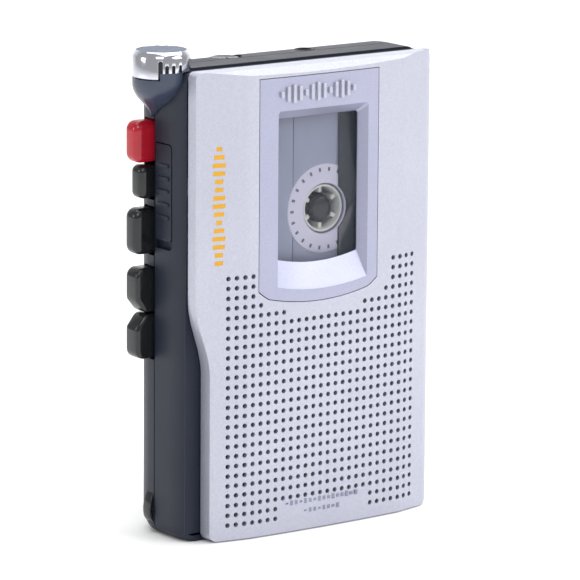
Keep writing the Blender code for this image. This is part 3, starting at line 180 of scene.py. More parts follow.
# Silver paint with fine aluminium flake, sprayed on moulded ABS: bright, soft highlights and a faint
# sparkle. The flake is drawn at 0.35 mm, coarser than the real 0.05 mm, so that it shows.
SILVER = surface("silver_metallic_paint_on_abs", "BEC0CD", 0.38, "B5B7C6", cloud=30, grain=(0.5, 0.006),
                 flake=(0.35, 0.07), **{"Metallic": 0.45, "Coat Weight": 0.15, "Coat Roughness": 0.25})
# The same paint, a touch bluer and smoother, on the separately moulded window surround.
SILVER_BLUE = surface("silver_blue_paint_on_surround", "ABADC3", 0.34, "A1A4BB", cloud=25, grain=(0.5, 0.005),
                      flake=(0.35, 0.05), **{"Metallic": 0.45, "Coat Weight": 0.2, "Coat Roughness": 0.2})
# Blue-grey ABS from a lightly eroded mould: satin, with soft broad highlights.
CASE_ABS = surface("blue_grey_moulded_abs", "1E2534", 0.46, "1A202E", cloud=22, grain=(0.35, 0.010),
                   **{"IOR": 1.45, "Specular IOR Level": 0.4})
# The same plastic from a polished part of the mould, for the microphone's pod. Its colour is lighter than the case's:
# a painted sheen.
POD_ABS_PAINTED_SHEEN = surface("blue_grey_polished_abs_painted_sheen", "3A4356", 0.26, "333C4E", cloud=12, grain=(0.6, 0.006), **{"IOR": 1.5})
# Polished black ABS for keys: near-mirror edges, faint handling marks.
KEY_ABS = surface("black_polished_abs", "17191B", 0.16, "1F2224", cloud=4, grain=(1.2, 0.006), wander=0.06,
                  **{"IOR": 1.52})
# The same plastic in red for the record key.
RED_ABS = surface("red_polished_abs", "B81A2E", 0.16, "A61427", cloud=5, grain=(1.2, 0.006), wander=0.06,
                  **{"IOR": 1.52, "Subsurface Weight": 0.03})
# Bright chromium on a drawn brass ring: a mirror with very fine polishing haze.
CHROME = surface("bright_chrome_plate", "E6E7EE", 0.09, "D5D7E2", cloud=3, grain=(0.5, 0.0015), wander=0.03,
                 **{"Metallic": 1.0})
# Plain steel wire, drawn and woven: grey, soft glints.
WIRE = surface("woven_steel_wire", "7E8694", 0.45, "6E7684", cloud=1.5, grain=(0.2, 0.004), **{"Metallic": 0.6})
# Clear acrylic with a faint smoke tint.
PANE = surface("clear_smoked_acrylic", "5A5F6C", 0.05, "525763", cloud=20, wander=0.02,
               **{"Alpha": 0.12, "IOR": 1.49, "Specular IOR Level": 0.6})
# Smoked polystyrene of the cassette shell, moulded with a fine satin.
SHELL_PS = surface("smoked_polystyrene_shell", "9EA3BA", 0.34, "9297AF", cloud=16, grain=(0.8, 0.002))
# Its dark clear section.
DARK_PS = surface("dark_clear_polystyrene", "2A323B", 0.14, "252C35", cloud=16, wander=0.03,
                  **{"Alpha": 0.9, "IOR": 1.45})
# Milky acetal: slightly waxy, light scatters inside.
MILKY = surface("milky_acetal_ring", "D8D5EA", 0.38, "CFCCE2", cloud=6, grain=(0.5, 0.004),
                **{"Subsurface Weight": 0.05})
ACETAL = surface("white_moulded_acetal", "DEDEDA", 0.36, "D2D2CE", cloud=5, grain=(0.5, 0.005),
                 **{"Subsurface Weight": 0.05})
INK_GREY = surface("grey_printed_marks", "5E6377", 0.5, "6A6F82", cloud=2)
# Screen-printed yellow ink, slightly raised, semi-matt.
INK_YELLOW = surface("yellow_screen_ink", "DDA51C", 0.42, "D29A14", cloud=3, grain=(0.25, 0.004))
# Hot-stamped grey foil on paint.
FOIL = surface("grey_stamped_foil", "8E92A6", 0.3, "82869A", cloud=2, **{"Metallic": 0.6})
# Rolled steel sheet with the rolling direction along X.
STEEL = surface("rolled_steel_sheet", "A9ABB0", 0.32, "9A9CA2", cloud=9, grain=(0.25, 0.004), stretch=(0.08, 1, 1),
                **{"Metallic": 1.0})
# Machine screws, blackened by oil, slightly rough.
SCREW_STEEL = surface("blackened_screw_steel", "4A4C52", 0.34, "3C3E44", cloud=1.5, grain=(0.2, 0.003),
                      **{"Metallic": 0.9})
# Brass turned on a lathe: warm, with fine turning marks.
BRASS = surface("turned_brass", "C49A4A", 0.26, "B58B3F", cloud=5, grain=(0.15, 0.003), stretch=(1, 0.1, 1),
                **{"Metallic": 1.0})
# Oxide tape wound into a pack: dark brown with fine winding lines.
TAPE = surface("wound_oxide_tape", "3A2A20", 0.30, "2E2119", cloud=4, grain=(0.12, 0.006), wander=0.08)
RUBBER = surface("moulded_nitrile_rubber", "1C1C1E", 0.75, "242427", cloud=3, grain=(0.2, 0.01), wander=0.1)
# Felt-backed black film that keeps dust out of the speaker.
SCREEN = surface("black_felted_film", "0D0E10", 0.9, "131416", cloud=2, grain=(0.2, 0.03))
CONE = surface("pressed_paper_cone", "2A2624", 0.8, "35302D", cloud=3, grain=(0.25, 0.03))
BOARD = surface("green_solder_mask", "1F5A3A", 0.35, "194B30", cloud=6, grain=(0.6, 0.02))
CELL = surface("printed_cell_jacket", "8F9299", 0.3, "7E828A", cloud=30, grain=(0.6, 0.002), **{"Metallic": 0.8})
BLACK_PLASTIC = surface("black_moulded_abs", "1B1D20", 0.45, "232528", cloud=8, grain=(0.3, 0.01))


# Shapes ---------------------------------------------------------------------------------------------


def piece(name, bm, finish, flat=30.0):
    """A piece from a bmesh in millimetres, shaded smooth up to the angle flat."""
    bmesh.ops.transform(bm, matrix=Matrix.Scale(MM, 4), verts=bm.verts)
    mesh = bpy.data.meshes.new(name)
    bm.to_mesh(mesh)
    bm.free()
    made = bpy.data.objects.new(name, mesh)
    bpy.context.scene.collection.objects.link(made)
    mesh.materials.append(finish)
    mesh.shade_smooth()
    mesh.set_sharp_from_angle(angle=math.radians(flat))
    return made


def settled(made, flat=None):
    """Turns a piece's modifiers into plain mesh and removes them."""
    graph = bpy.context.evaluated_depsgraph_get()
    mesh = bpy.data.meshes.new_from_object(made.evaluated_get(graph), depsgraph=graph)
    made.modifiers.clear()
    made.data = mesh
    if flat:
        mesh.shade_smooth()
        mesh.set_sharp_from_angle(angle=math.radians(flat))
    return made


def combine(made, other, operation):
    """One exact Boolean, done at once. The other piece is used up."""
    step = made.modifiers.new(operation, "BOOLEAN")
    step.operation = operation
    step.solver = "EXACT"
    step.object = other
    settled(made)
    bpy.data.objects.remove(other)
    return made


def cut(made, *others):
    for other in others:
        combine(made, other, "DIFFERENCE")
    return made


def join(made, *others):
    for other in others:
        combine(made, other, "UNION")
    return made


def round_edges(made, width, segments=2, angle=35.0):
    """Rounds the edges that are sharper than the angle, and shades the result smooth."""
    step = made.modifiers.new("rounded edges", "BEVEL")
    step.width = width * MM
    step.segments = segments
    step.limit_method = "ANGLE"
    step.angle_limit = math.radians(angle)
    step.harden_normals = False
    return settled(made, flat=32.0)


def evened(made):
    """Weights a piece's normals by area, so that its broad faces stay flat up to their rounded edges."""
    step = made.modifiers.new("evened normals", "WEIGHTED_NORMAL")
    step.keep_sharp = True
    return settled(made)


def loft(name, rings, finish, closed=False):
    """A skin over rings of equal length: capped at both ends, or closed into a wall."""
    bm = bmesh.new()
    grid = [[bm.verts.new(point) for point in ring] for ring in rings]
    count = len(rings[0])
    pairs = list(zip(grid, grid[1:] + grid[:1])) if closed else list(zip(grid, grid[1:]))
    for near, far in pairs:
        for i in range(count):
            j = (i + 1) % count
            bm.faces.new((near[i], near[j], far[j], far[i]))
    if not closed:
        bm.faces.new(grid[0])
        bm.faces.new(list(reversed(grid[-1])))
    bmesh.ops.recalc_face_normals(bm, faces=bm.faces)
    return piece(name, bm, finish)


def spread(axis, first, second, along):
    """A point from its two coordinates across an axis and the one along it."""
    values = [first, second]
    values.insert("XYZ".index(axis), along)
    return tuple(values)


def plate(name, axis, outline, start, end, finish):
    """A flat outline run along an axis. Along Y it holds (x, z), along X (y, z), along Z (x, y)."""
    return loft(name, [[spread(axis, a, b, at) for a, b in outline] for at in (start, end)], finish)


def block(name, x, y, z, finish, edge=0.0, segments=3):
    made = plate(name, "Z", [(x[0], y[0]), (x[1], y[0]), (x[1], y[1]), (x[0], y[1])], *z, finish)
    return round_edges(made, edge, segments) if edge else made


def lathe(name, axis, centre, profile, finish, sides=64):
    """A turned piece. The profile holds (radius, height), and a radius of zero is a point on the axis."""
    bm = bmesh.new()
    rings = []
    for radius, height in profile:
        turns = [2 * math.pi * i / sides for i in range(sides)] if radius else [0.0]
        rings.append([bm.verts.new(spread(axis, centre[0] + radius * math.cos(a), centre[1] + radius * math.sin(a),
                                          height)) for a in turns])
    for lower, upper in zip(rings, rings[1:] + rings[:1]):
        if len(lower) == len(upper) == 1:
            continue
        for i in range(sides):
            around = [lower[i % len(lower)], lower[(i + 1) % len(lower)],
                      upper[(i + 1) % len(upper)], upper[i % len(upper)]]
            around = list(dict.fromkeys(around))
            if len(around) > 2:
                bm.faces.new(around)
    bmesh.ops.recalc_face_normals(bm, faces=bm.faces)
    return piece(name, bm, finish)


def bar(name, axis, centre, radius, start, end, finish, sides=64):
    """A round bar along an axis, which also serves as a drill."""
    return lathe(name, axis, centre, [(0, start), (radius, start), (radius, end), (0, end)], finish, sides)


def disc(centre, radius, sides=48):
    return [(centre[0] + radius * math.cos(2 * math.pi * i / sides),
             centre[1] + radius * math.sin(2 * math.pi * i / sides)) for i in range(sides)]


def rounded(a, b, radii, steps=8):
    """A rectangle with rounded corners: low left, low right, high right, high left."""
    if not isinstance(radii, (tuple, list)):
        radii = [radii] * 4
    spots = [(a[0], b[0], 1, 1, 180), (a[1], b[0], -1, 1, 270), (a[1], b[1], -1, -1, 0), (a[0], b[1], 1, -1, 90)]
    points = []
    for (x, z, in_x, in_z, start), radius in zip(spots, radii):
        for i in range(steps + 1):
            turn = math.radians(start + 90 * i / steps)
            points.append((x + in_x * radius + radius * math.cos(turn), z + in_z * radius + radius * math.sin(turn)))
    return points


# What repeats, made with Geometry Nodes -------------------------------------------------------------


def new_tree(name, sizes):
    """An empty tree with a geometry input, the named sizes and a material. Returns it with its inputs."""
    tree = bpy.data.node_groups.new(name, "GeometryNodeTree")
    tree.interface.new_socket("Geometry", in_out="INPUT", socket_type="NodeSocketGeometry")
    for label, kind in sizes.items():
        tree.interface.new_socket(label, in_out="INPUT", socket_type=kind)
    tree.interface.new_socket("Finish", in_out="INPUT", socket_type="NodeSocketMaterial")
    tree.interface.new_socket("Geometry", in_out="OUTPUT", socket_type="NodeSocketGeometry")
    return tree, add(tree, "NodeGroupInput").outputs


def end_tree(tree, given, geometry):
    real = add(tree, "GeometryNodeRealizeInstances", links={0: geometry})
    done = add(tree, "GeometryNodeSetMaterial", links={"Geometry": real.outputs[0], "Material": given["Finish"]})
    add(tree, "NodeGroupOutput", links={0: done.outputs[0]})
    return tree


FLOAT, WHOLE = "NodeSocketFloat", "NodeSocketInt"


def pegs_tree():
    """A round peg on every point, along Y."""
    tree, given = new_tree("round_pegs", {"Radius": FLOAT, "Length": FLOAT, "Sides": WHOLE})
    peg = add(tree, "GeometryNodeMeshCylinder", links={
        "Vertices": given["Sides"], "Radius": given["Radius"], "Depth": given["Length"]})
    set_out = add(tree, "GeometryNodeInstanceOnPoints", links={
        "Points": given["Geometry"], "Instance": peg.outputs["Mesh"], "Rotation": (math.pi / 2, 0.0, 0.0)})
    return end_tree(tree, given, set_out.outputs[0])


def spokes_tree():
    """Blocks round a circle in the XZ plane, each facing out from its centre."""
    tree, given = new_tree("blocks_round_a_circle", {
        "Count": WHOLE, "Circle": FLOAT, "Across": FLOAT, "Outward": FLOAT, "Depth": FLOAT})
    points = add(tree, "GeometryNodeMeshCircle", links={"Vertices": given["Count"], "Radius": given["Circle"]})
    size = add(tree, "ShaderNodeCombineXYZ", links={0: given["Outward"], 1: given["Across"], 2: given["Depth"]})
    brick = add(tree, "GeometryNodeMeshCube", links={"Size": size.outputs[0]})
    index = add(tree, "GeometryNodeInputIndex")
    share = add(tree, "ShaderNodeMath", {"operation": "DIVIDE"}, {0: index.outputs[0], 1: given["Count"]})
    angle = add(tree, "ShaderNodeMath", {"operation": "MULTIPLY"}, {0: share.outputs[0], 1: 2 * math.pi})
    turn = add(tree, "ShaderNodeCombineXYZ", links={2: angle.outputs[0]})
    set_out = add(tree, "GeometryNodeInstanceOnPoints", links={
        "Points": points.outputs[0], "Instance": brick.outputs["Mesh"], "Rotation": turn.outputs[0]})
    upright = add(tree, "GeometryNodeTransform", links={0: set_out.outputs[0], "Rotation": (math.pi / 2, 0.0, 0.0)})
    return end_tree(tree, given, upright.outputs[0])


def centred_row(tree, given):
    """Points in a row along X, a pitch apart, with the row's middle at the origin."""
    last = add(tree, "ShaderNodeMath", {"operation": "SUBTRACT"}, {0: given["Count"], 1: 1.0})
    reach = add(tree, "ShaderNodeMath", {"operation": "MULTIPLY"}, {0: last.outputs[0], 1: given["Pitch"]})
    start = add(tree, "ShaderNodeMath", {"operation": "MULTIPLY"}, {0: reach.outputs[0], 1: -0.5})
    first = add(tree, "ShaderNodeCombineXYZ", links={0: start.outputs[0]})
    step = add(tree, "ShaderNodeCombineXYZ", links={0: given["Pitch"]})
    return add(tree, "GeometryNodeMeshLine", links={
        "Count": given["Count"], "Start Location": first.outputs[0], "Offset": step.outputs[0]})


def bars_tree():
    """Upright bars in a row along X, centred, whose heights rise and fall in waves between two sizes."""
    tree, given = new_tree("bars_in_a_row", {
        "Count": WHOLE, "Pitch": FLOAT, "Thickness": FLOAT, "Lowest": FLOAT, "Highest": FLOAT, "Wave": FLOAT,
        "Depth": FLOAT})
    points = centred_row(tree, given)
    index = add(tree, "GeometryNodeInputIndex")
    phase = add(tree, "ShaderNodeMath", {"operation": "MULTIPLY"}, {0: index.outputs[0], 1: given["Wave"]})
    wave = add(tree, "ShaderNodeMath", {"operation": "SINE"}, {0: phase.outputs[0]})
    size = add(tree, "ShaderNodeMath", {"operation": "ABSOLUTE"}, {0: wave.outputs[0]})
    height = add(tree, "ShaderNodeMapRange", links={
        "Value": size.outputs[0], "To Min": given["Lowest"], "To Max": given["Highest"]})
    scale = add(tree, "ShaderNodeCombineXYZ", links={
        0: given["Thickness"], 1: given["Depth"], 2: height.outputs["Result"]})
    brick = add(tree, "GeometryNodeMeshCube", links={"Size": (1.0, 1.0, 1.0)})
    set_out = add(tree, "GeometryNodeInstanceOnPoints", links={
        "Points": points.outputs[0], "Instance": brick.outputs["Mesh"], "Scale": scale.outputs[0]})
    return end_tree(tree, given, set_out.outputs[0])


def weave_tree():
    """Two layers of straight wires across a disc in the XY plane, each wire as long as its chord."""
    tree, given = new_tree("wires_across_a_disc", {
        "Count": WHOLE, "Pitch": FLOAT, "Disc radius": FLOAT, "Wire radius": FLOAT})
    points = centred_row(tree, given)
    where = add(tree, "ShaderNodeSeparateXYZ", links={0: add(tree, "GeometryNodeInputPosition").outputs[0]})
    square = add(tree, "ShaderNodeMath", {"operation": "POWER"}, {0: where.outputs[0], 1: 2.0})
    whole = add(tree, "ShaderNodeMath", {"operation": "POWER"}, {0: given["Disc radius"], 1: 2.0})
    rest = add(tree, "ShaderNodeMath", {"operation": "SUBTRACT"}, {0: whole.outputs[0], 1: square.outputs[0]})
    half = add(tree, "ShaderNodeMath", {"operation": "SQRT"}, {0: rest.outputs[0]})
    chord = add(tree, "ShaderNodeMath", {"operation": "MULTIPLY"}, {0: half.outputs[0], 1: 2.0})
    scale = add(tree, "ShaderNodeCombineXYZ", links={0: 1.0, 1: 1.0, 2: chord.outputs[0]})
    wire = add(tree, "GeometryNodeMeshCylinder", links={"Vertices": 6, "Radius": given["Wire radius"], "Depth": 1.0})
    layer = add(tree, "GeometryNodeInstanceOnPoints", links={
        "Points": points.outputs[0], "Instance": wire.outputs["Mesh"], "Rotation": (math.pi / 2, 0.0, 0.0),
        "Scale": scale.outputs[0]})
    both = add(tree, "GeometryNodeJoinGeometry")
    for turn, lift in ((math.radians(30), 1.0), (math.radians(-30), -1.0)):
        rise = add(tree, "ShaderNodeMath", {"operation": "MULTIPLY"}, {0: given["Wire radius"], 1: 0.7 * lift})
        shift = add(tree, "ShaderNodeCombineXYZ", links={2: rise.outputs[0]})
        moved = add(tree, "GeometryNodeTransform", links={
            0: layer.outputs[0], "Translation": shift.outputs[0], "Rotation": (0.0, 0.0, turn)})
        tree.links.new(moved.outputs[0], both.inputs[0])
    return end_tree(tree, given, both.outputs[0])


PEGS, SPOKES, BARS, WEAVE = pegs_tree(), spokes_tree(), bars_tree(), weave_tree()


def grown(name, tree, finish, sizes, points=((0, 0, 0),), move=None):
    """Runs a tree on points in millimetres and keeps the result as a plain mesh, moved in millimetres."""
    mesh = bpy.data.meshes.new(name)
    mesh.from_pydata([Vector(p) * MM for p in points], [], [])
    made = bpy.data.objects.new(name, mesh)
    bpy.context.scene.collection.objects.link(made)
    step = made.modifiers.new("grown", "NODES")
    step.node_group = tree
    for socket in tree.interface.items_tree:
        if socket.in_out == "INPUT" and socket.name != "Geometry":
            value = finish if socket.name == "Finish" else sizes[socket.name]
            if isinstance(value, float) and socket.name != "Wave":
                value *= MM
            step[socket.identifier] = value
    settled(made)
    if move:
        shift = Matrix.Translation(move.to_translation() * MM)
        made.data.transform(shift @ move.to_3x3().to_4x4())
    made.data.shade_smooth()
    made.data.set_sharp_from_angle(angle=math.radians(30))
    return made


def at(x, y, z, turn=0.0, axis="Z"):
    return Matrix.Translation((x, y, z)) @ Matrix.Rotation(turn, 4, axis)


def keep(made, body, slot, *replaced):
    """Puts a finished piece on its body and hides the CAD nodes that it replaces."""
    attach(made, body)
    if replaced:
        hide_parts(*replaced)
    return made


# The case -------------------------------------------------------------------------------------------


def quarter(radius, along):
    """How far a round edge has drawn in, this far along its radius."""
    return radius - math.sqrt(max(radius**2 - min(max(along, 0.0), radius) ** 2, 0.0))


def case_ring(y, wall):
    """The case's outline at one depth, drawn in by the wall."""
    side = quarter(SIDE_ROUND - wall, y - BACK + SIDE_ROUND) + wall
    above = quarter(TOP_ROUND - wall, y - BACK + TOP_ROUND) + wall
    below = quarter(BOTTOM_ROUND - wall, y - BACK + BOTTOM_ROUND) + wall
    ahead = min(max((PARTING + SHOULDER_DEPTH - y) / SHOULDER_DEPTH, 0.0), 1.0)
    shoulder = 0.0 if wall else SHOULDER_INSET * (1 - math.sqrt(1 - ahead**2))
    corner = CORNER_ROUND - wall / 2 + 0.5 * (side - wall) + 0.3 * (below - wall)
    outline = rounded((LEFT + side + shoulder, RIGHT - side), (below, TOP - above), corner)
    return [(x, y, z) for x, z in outline]


def hollow(name, depths, inner_depths, open_back):
    """A wall between the outer and inner rings: a frame, or a tray closed at the back."""
    outer = [case_ring(y, 0.0) for y in depths]
    inner = [case_ring(y, WALL) for y in reversed(inner_depths)]
    return loft(name, outer + inner if open_back else inner + outer, CASE_ABS, closed=open_back)


def back_depths(start, wall, steps=14):
    radius = SIDE_ROUND - wall
    return [start, start + 0.25] + [BACK - SIDE_ROUND + radius * math.sin(math.radians(90 * i / steps))
                                    for i in range(1, steps + 1)]


def lid_outline(inset, steps=22):
    """The lid's edge from the front: its left side steps in below the window."""
    left = LID_LEFT + inset
    wave = []
    for i in range(steps + 1):
        share = i / steps
        wave.append((left + STEP * (1 + math.cos(math.pi * share)) / 2, STEP_LOW + share * (STEP_HIGH - STEP_LOW)))
    right, low, high = RIGHT - inset, LID_BOTTOM + inset, TOP - inset
    turns = [math.radians(10 * i) for i in range(10)]
    low_left = [(left + STEP + 2 - 2 * math.sin(a), low + 2 - 2 * math.cos(a)) for a in turns]
    top_left = [(left + 1.5 - 1.5 * math.cos(a), high - 1.5 + 1.5 * math.sin(a)) for a in turns]
    top_right = [(right - 3 + 3 * math.sin(a), high - 3 + 3 * math.cos(a)) for a in turns]
    low_right = [(right - 3 + 3 * math.cos(a), low + 3 - 3 * math.sin(a)) for a in turns]
    return low_left + wave + top_left + top_right + low_right


def build_front_case():
    share = [0.0, 0.04, 0.10, 0.2, 0.33, 0.5, 0.7, 1.0]
    depths = [FRONT_FACE] + [FRONT_FACE + (PARTING + SHOULDER_DEPTH - FRONT_FACE) * s for s in share[1:]]
    depths += [SEAM - 0.4, SEAM - 0.15]
    case = hollow("front_case_moulding", depths, depths, True)
    ledge = [(x + 0.95, z) for x, z in lid_outline(0.0) if x < LEFT + 9 and z < STEP_HIGH + 0.5 and z > 3.0]
    ledge = [(LEFT + 1.0, 2.0), (ledge[0][0], 2.0)] + ledge + [(LEFT + 1.0, STEP_HIGH + 1)]
    join(case, plate("ledge", "Y", ledge, FRONT_FACE + 0.02, FRONT_FACE + 1.1, CASE_ABS))
    cut(case, block("lid_swing", (RIGHT - WALL - 1, RIGHT + 1), (FRONT_FACE - 1, FRONT_FACE + 1.0), (-1, TOP + 1),
                    CASE_ABS))
    for low in EARS:
        ear = bar("ear", "Z", HINGE, 1.1, low, low + 2, CASE_ABS, 32)
        web = block("web", (HINGE[0] - 0.7, RIGHT - 0.35), (HINGE[1], FRONT_FACE + 2), (low, low + 2), CASE_ABS)
        join(case, ear, web)
        cut(case, bar("bore", "Z", HINGE, 0.62, low - 1, low + 3, CASE_ABS, 24))
    slot = rounded((-4.9, 2.1), (70.2, 95.7), (1.4, 0.3, 0.3, 1.4))
    cut(case, plate("pause_opening", "X", slot, LEFT - 1, LEFT + WALL + 1, CASE_ABS))
    cut(case, block("top_step", (LEFT - 1, RIGHT + 1), (FRONT_FACE - 1, PARTING + 4.5), (TOP - 0.6, TOP + 1),
                    CASE_ABS))
    keep(evened(round_edges(case, 0.18, 2)), "root", "shell", "front_case")
    # The floor of the pause slider's pocket.
    scoop = block("pause_pocket_floor", (LEFT + WALL - 0.3, LEFT + WALL + 0.5), (-5.2, 2.1), (69.6, 96.2),
                  CASE_ABS, 0.1)
    keep(scoop, "root", "shell")


def key_sizes():
    """Each key's lower and upper ends as listed, and its outer face and depth from its CAD node."""
    sizes = {}
    for name, low, high in (("record_key", 90.4, 100.5), ("stop_key", 81.7, 89.8), ("play_key", 68.3, 79.5),
                            ("rewind_key", 54.2, 65.1), ("forward_key", 43.0, 53.9)):
        near, far = corners(name)
        sizes[name] = (low, high, near.x, (near.y, far.y))
    return sizes


def build_rear_case():
    case = hollow("rear_case_moulding", back_depths(SEAM + 0.15, 0.0), back_depths(SEAM + 0.15, WALL), False)
    for low, high, depth in [(k[0], k[1], k[3]) for k in key_sizes().values()]:
        opening = rounded((SEAM - 1, depth[1] + 0.3), (low - 0.3, high + 0.3), (0.3, 1.2, 1.2, 0.3))
        cut(case, plate("key_opening", "X", opening, LEFT - 1, LEFT + WALL + 4, CASE_ABS))
    door = rounded((DOOR_LOW.x - 0.3, DOOR_HIGH.x + 0.3), (DOOR_LOW.z - 0.5, DOOR_HIGH.z + 0.3), 1.2)
    cut(case, plate("door_opening", "Y", door, BACK - WALL - 2, BACK + 2, CASE_ABS))
    low, high = corners("volume_wheel")
    cut(case, bar("volume_hole", "Z", VOLUME, 4.25, low.z - 1, TOP + 2, CASE_ABS, 96))
    cut(case, bar("jack_hole", "Z", JACK, 2.6, TOP - WALL - 2, TOP + 2, CASE_ABS))
    for x, z in SCREWS:
        cut(case, lathe("screw_hole", "Y", (x, z), [(0, BACK - WALL - 1), (1.2, BACK - WALL - 1), (1.2, BACK - 0.7),
                                                    (2.0, BACK - 0.7), (2.0, BACK + 1), (0, BACK + 1)], CASE_ABS, 40))
    keep(evened(round_edges(case, 0.18, 2)), "root", "shell", "rear_case")
    # The strap lug: a small polished lobe with its eye, low on the left rear corner.
    y = (SEAM + 0.4, SEAM + 3.4)
    lobe = [(LEFT + 1.2, 2.6), (LEFT + 0.3, 2.65), (LEFT - 0.3, 3.1), (LEFT - 0.8, 4.0), (LEFT - 1.0, 5.2),
            (LEFT - 0.95, 6.6), (LEFT - 0.75, 7.9), (LEFT - 0.3, 9.3), (LEFT + 0.4, 10.6), (LEFT + 1.2, 11.4)]
    lug = plate("strap_lug", "Y", lobe, *y, KEY_ABS)
    cut(lug, bar("eye", "Y", (LEFT - 0.2, 6.0), 0.5, y[0] - 1, y[1] + 1, KEY_ABS, 24))
    keep(round_edges(lug, 0.45, 3), "root", "shell")


def build_battery_door():
    outline = rounded((DOOR_LOW.x, DOOR_HIGH.x), (DOOR_LOW.z, DOOR_HIGH.z), 1.0)
    door = plate("battery_door_moulding", "Y", outline, BACK - 1.1, BACK, CASE_ABS)
    grooves = grown("door_grooves", BARS, CASE_ABS, {
        "Count": 4, "Pitch": 1.6, "Thickness": 0.8, "Lowest": 10.0, "Highest": 10.0, "Wave": 0.0, "Depth": 0.8},
        move=at(0, BACK, DOOR_HIGH.z - 5.4, math.pi / 2, "Y"))
    cut(door, grooves)
    catch = block("catch", (-4, 4), (BACK - 2.3, BACK - 0.5), (DOOR_HIGH.z - 1.6, DOOR_HIGH.z - 0.4), CASE_ABS)
    join(door, catch)
    keep(evened(round_edges(door, 0.15, 2)), "battery_door", "shell", "battery_door")


def build_screws():
    for i, (x, z) in enumerate(SCREWS):
        head = BACK - 0.65
        screw = lathe(f"case_screw_{i + 1}_turned", "Y", (x, z), [
            (0, 5.3), (0.9, 5.3), (0.9, head), (1.7, head), (1.72, head + 0.2), (1.45, head + 0.45),
            (0.9, head + 0.54), (0, head + 0.56)], SCREW_STEEL, 40)
        for a, b in ((1.0, 0.18), (0.18, 1.0)):
            cut(screw, block("slot", (x - a, x + a), (head + 0.1, head + 2), (z - b, z + b), SCREW_STEEL))
        keep(screw, "root", "steel", f"case_screw_{i + 1}")


# The lid --------------------------------------------------------------------------------------------


def front_y(x):
    """The lid's front from above: a flat left facet, a shallow crown, a right facet and a round edge."""
    if x <= -20.7:
        return FRONT + 0.4 + (-20.7 - x) * 2.55 / 15.3
    if x <= 25.3:
        a, b, c = -20.7, 1.5, 25.3
        return FRONT + 0.4 * (x - b) * (x - c) / ((a - b) * (a - c)) + 1.0 * (x - a) * (x - b) / ((c - a) * (c - b))
    if x <= 33.4:
        return FRONT + 1.0 + (x - 25.3) * 2.15 / 8.1
    share = min((x - 33.4) / 2.6, 1.0)
    return FRONT + 3.15 + 0.69 * share + 1.3 * (1 - math.sqrt(1 - share**2))


def lid_form(name, inset, side, rear, finish):
    """The lid's outer or inner form: its front run up the lid, inside its outline."""
    across = [-36.7, -28, -21.6] + [-20.7 + 46 * i / 24 for i in range(25)] + [26.2, 30.0, 33.4]
    across += [33.4 + 2.6 * math.sin(math.radians(90 * i / 8)) for i in range(1, 9)]
    profile = [(x, front_y(x) + inset) for x in across] + [(36.01, rear), (-36.7, rear)]
    form = plate(name, "Z", profile, -1.0, TOP + 1.0, finish)
    return combine(form, plate("outline", "Y", lid_outline(side), FRONT - 2, rear + 2, finish), "INTERSECT")


def bezel_outline(extra, steps=24):
    """The window surround's edge, with its curved lower side and slightly rounded corners."""
    half = (BEZEL_HIGH.x - BEZEL_LOW.x) / 2 + extra
    low, sag = BEZEL_LOW.z + 2.5 - extra, 2.5
    arc = []
    for i in range(steps + 1):
        share = -1 + 2 * i / steps
        arc.append((BEZEL_X + half * share, low - sag * (1 - share**2) + 1.3 * max(abs(share) - 0.86, 0) / 0.14))
    return arc + [(BEZEL_X + half, BEZEL_HIGH.z + extra), (BEZEL_X - half, BEZEL_HIGH.z + extra)]


def window_outline(x, z, sag, radius, steps=16):
    """A window opening with a curved lower side and small corner radii."""
    arc = [(x[0] + radius * 0.3 + (x[1] - x[0] - radius * 0.6) * i / steps, z[0] + sag * (2 * i / steps - 1) ** 2)
           for i in range(steps + 1)]
    up = [(x[1], z[0] + sag + radius), (x[1], z[1] - radius), (x[1] - radius, z[1])]
    return arc + up + [(x[0] + radius, z[1]), (x[0], z[1] - radius), (x[0], z[0] + sag + radius)]


def grille_points():
    points = []
    for row, shown in enumerate(GRILLE_ROWS):
        for column in range(GRILLE_COLUMNS):
            if column < shown or column >= GRILLE_COLUMNS - shown:
                points.append((-26 + 2.2 * column, -13.9, 64.0 - 2.4 * row))
    return points


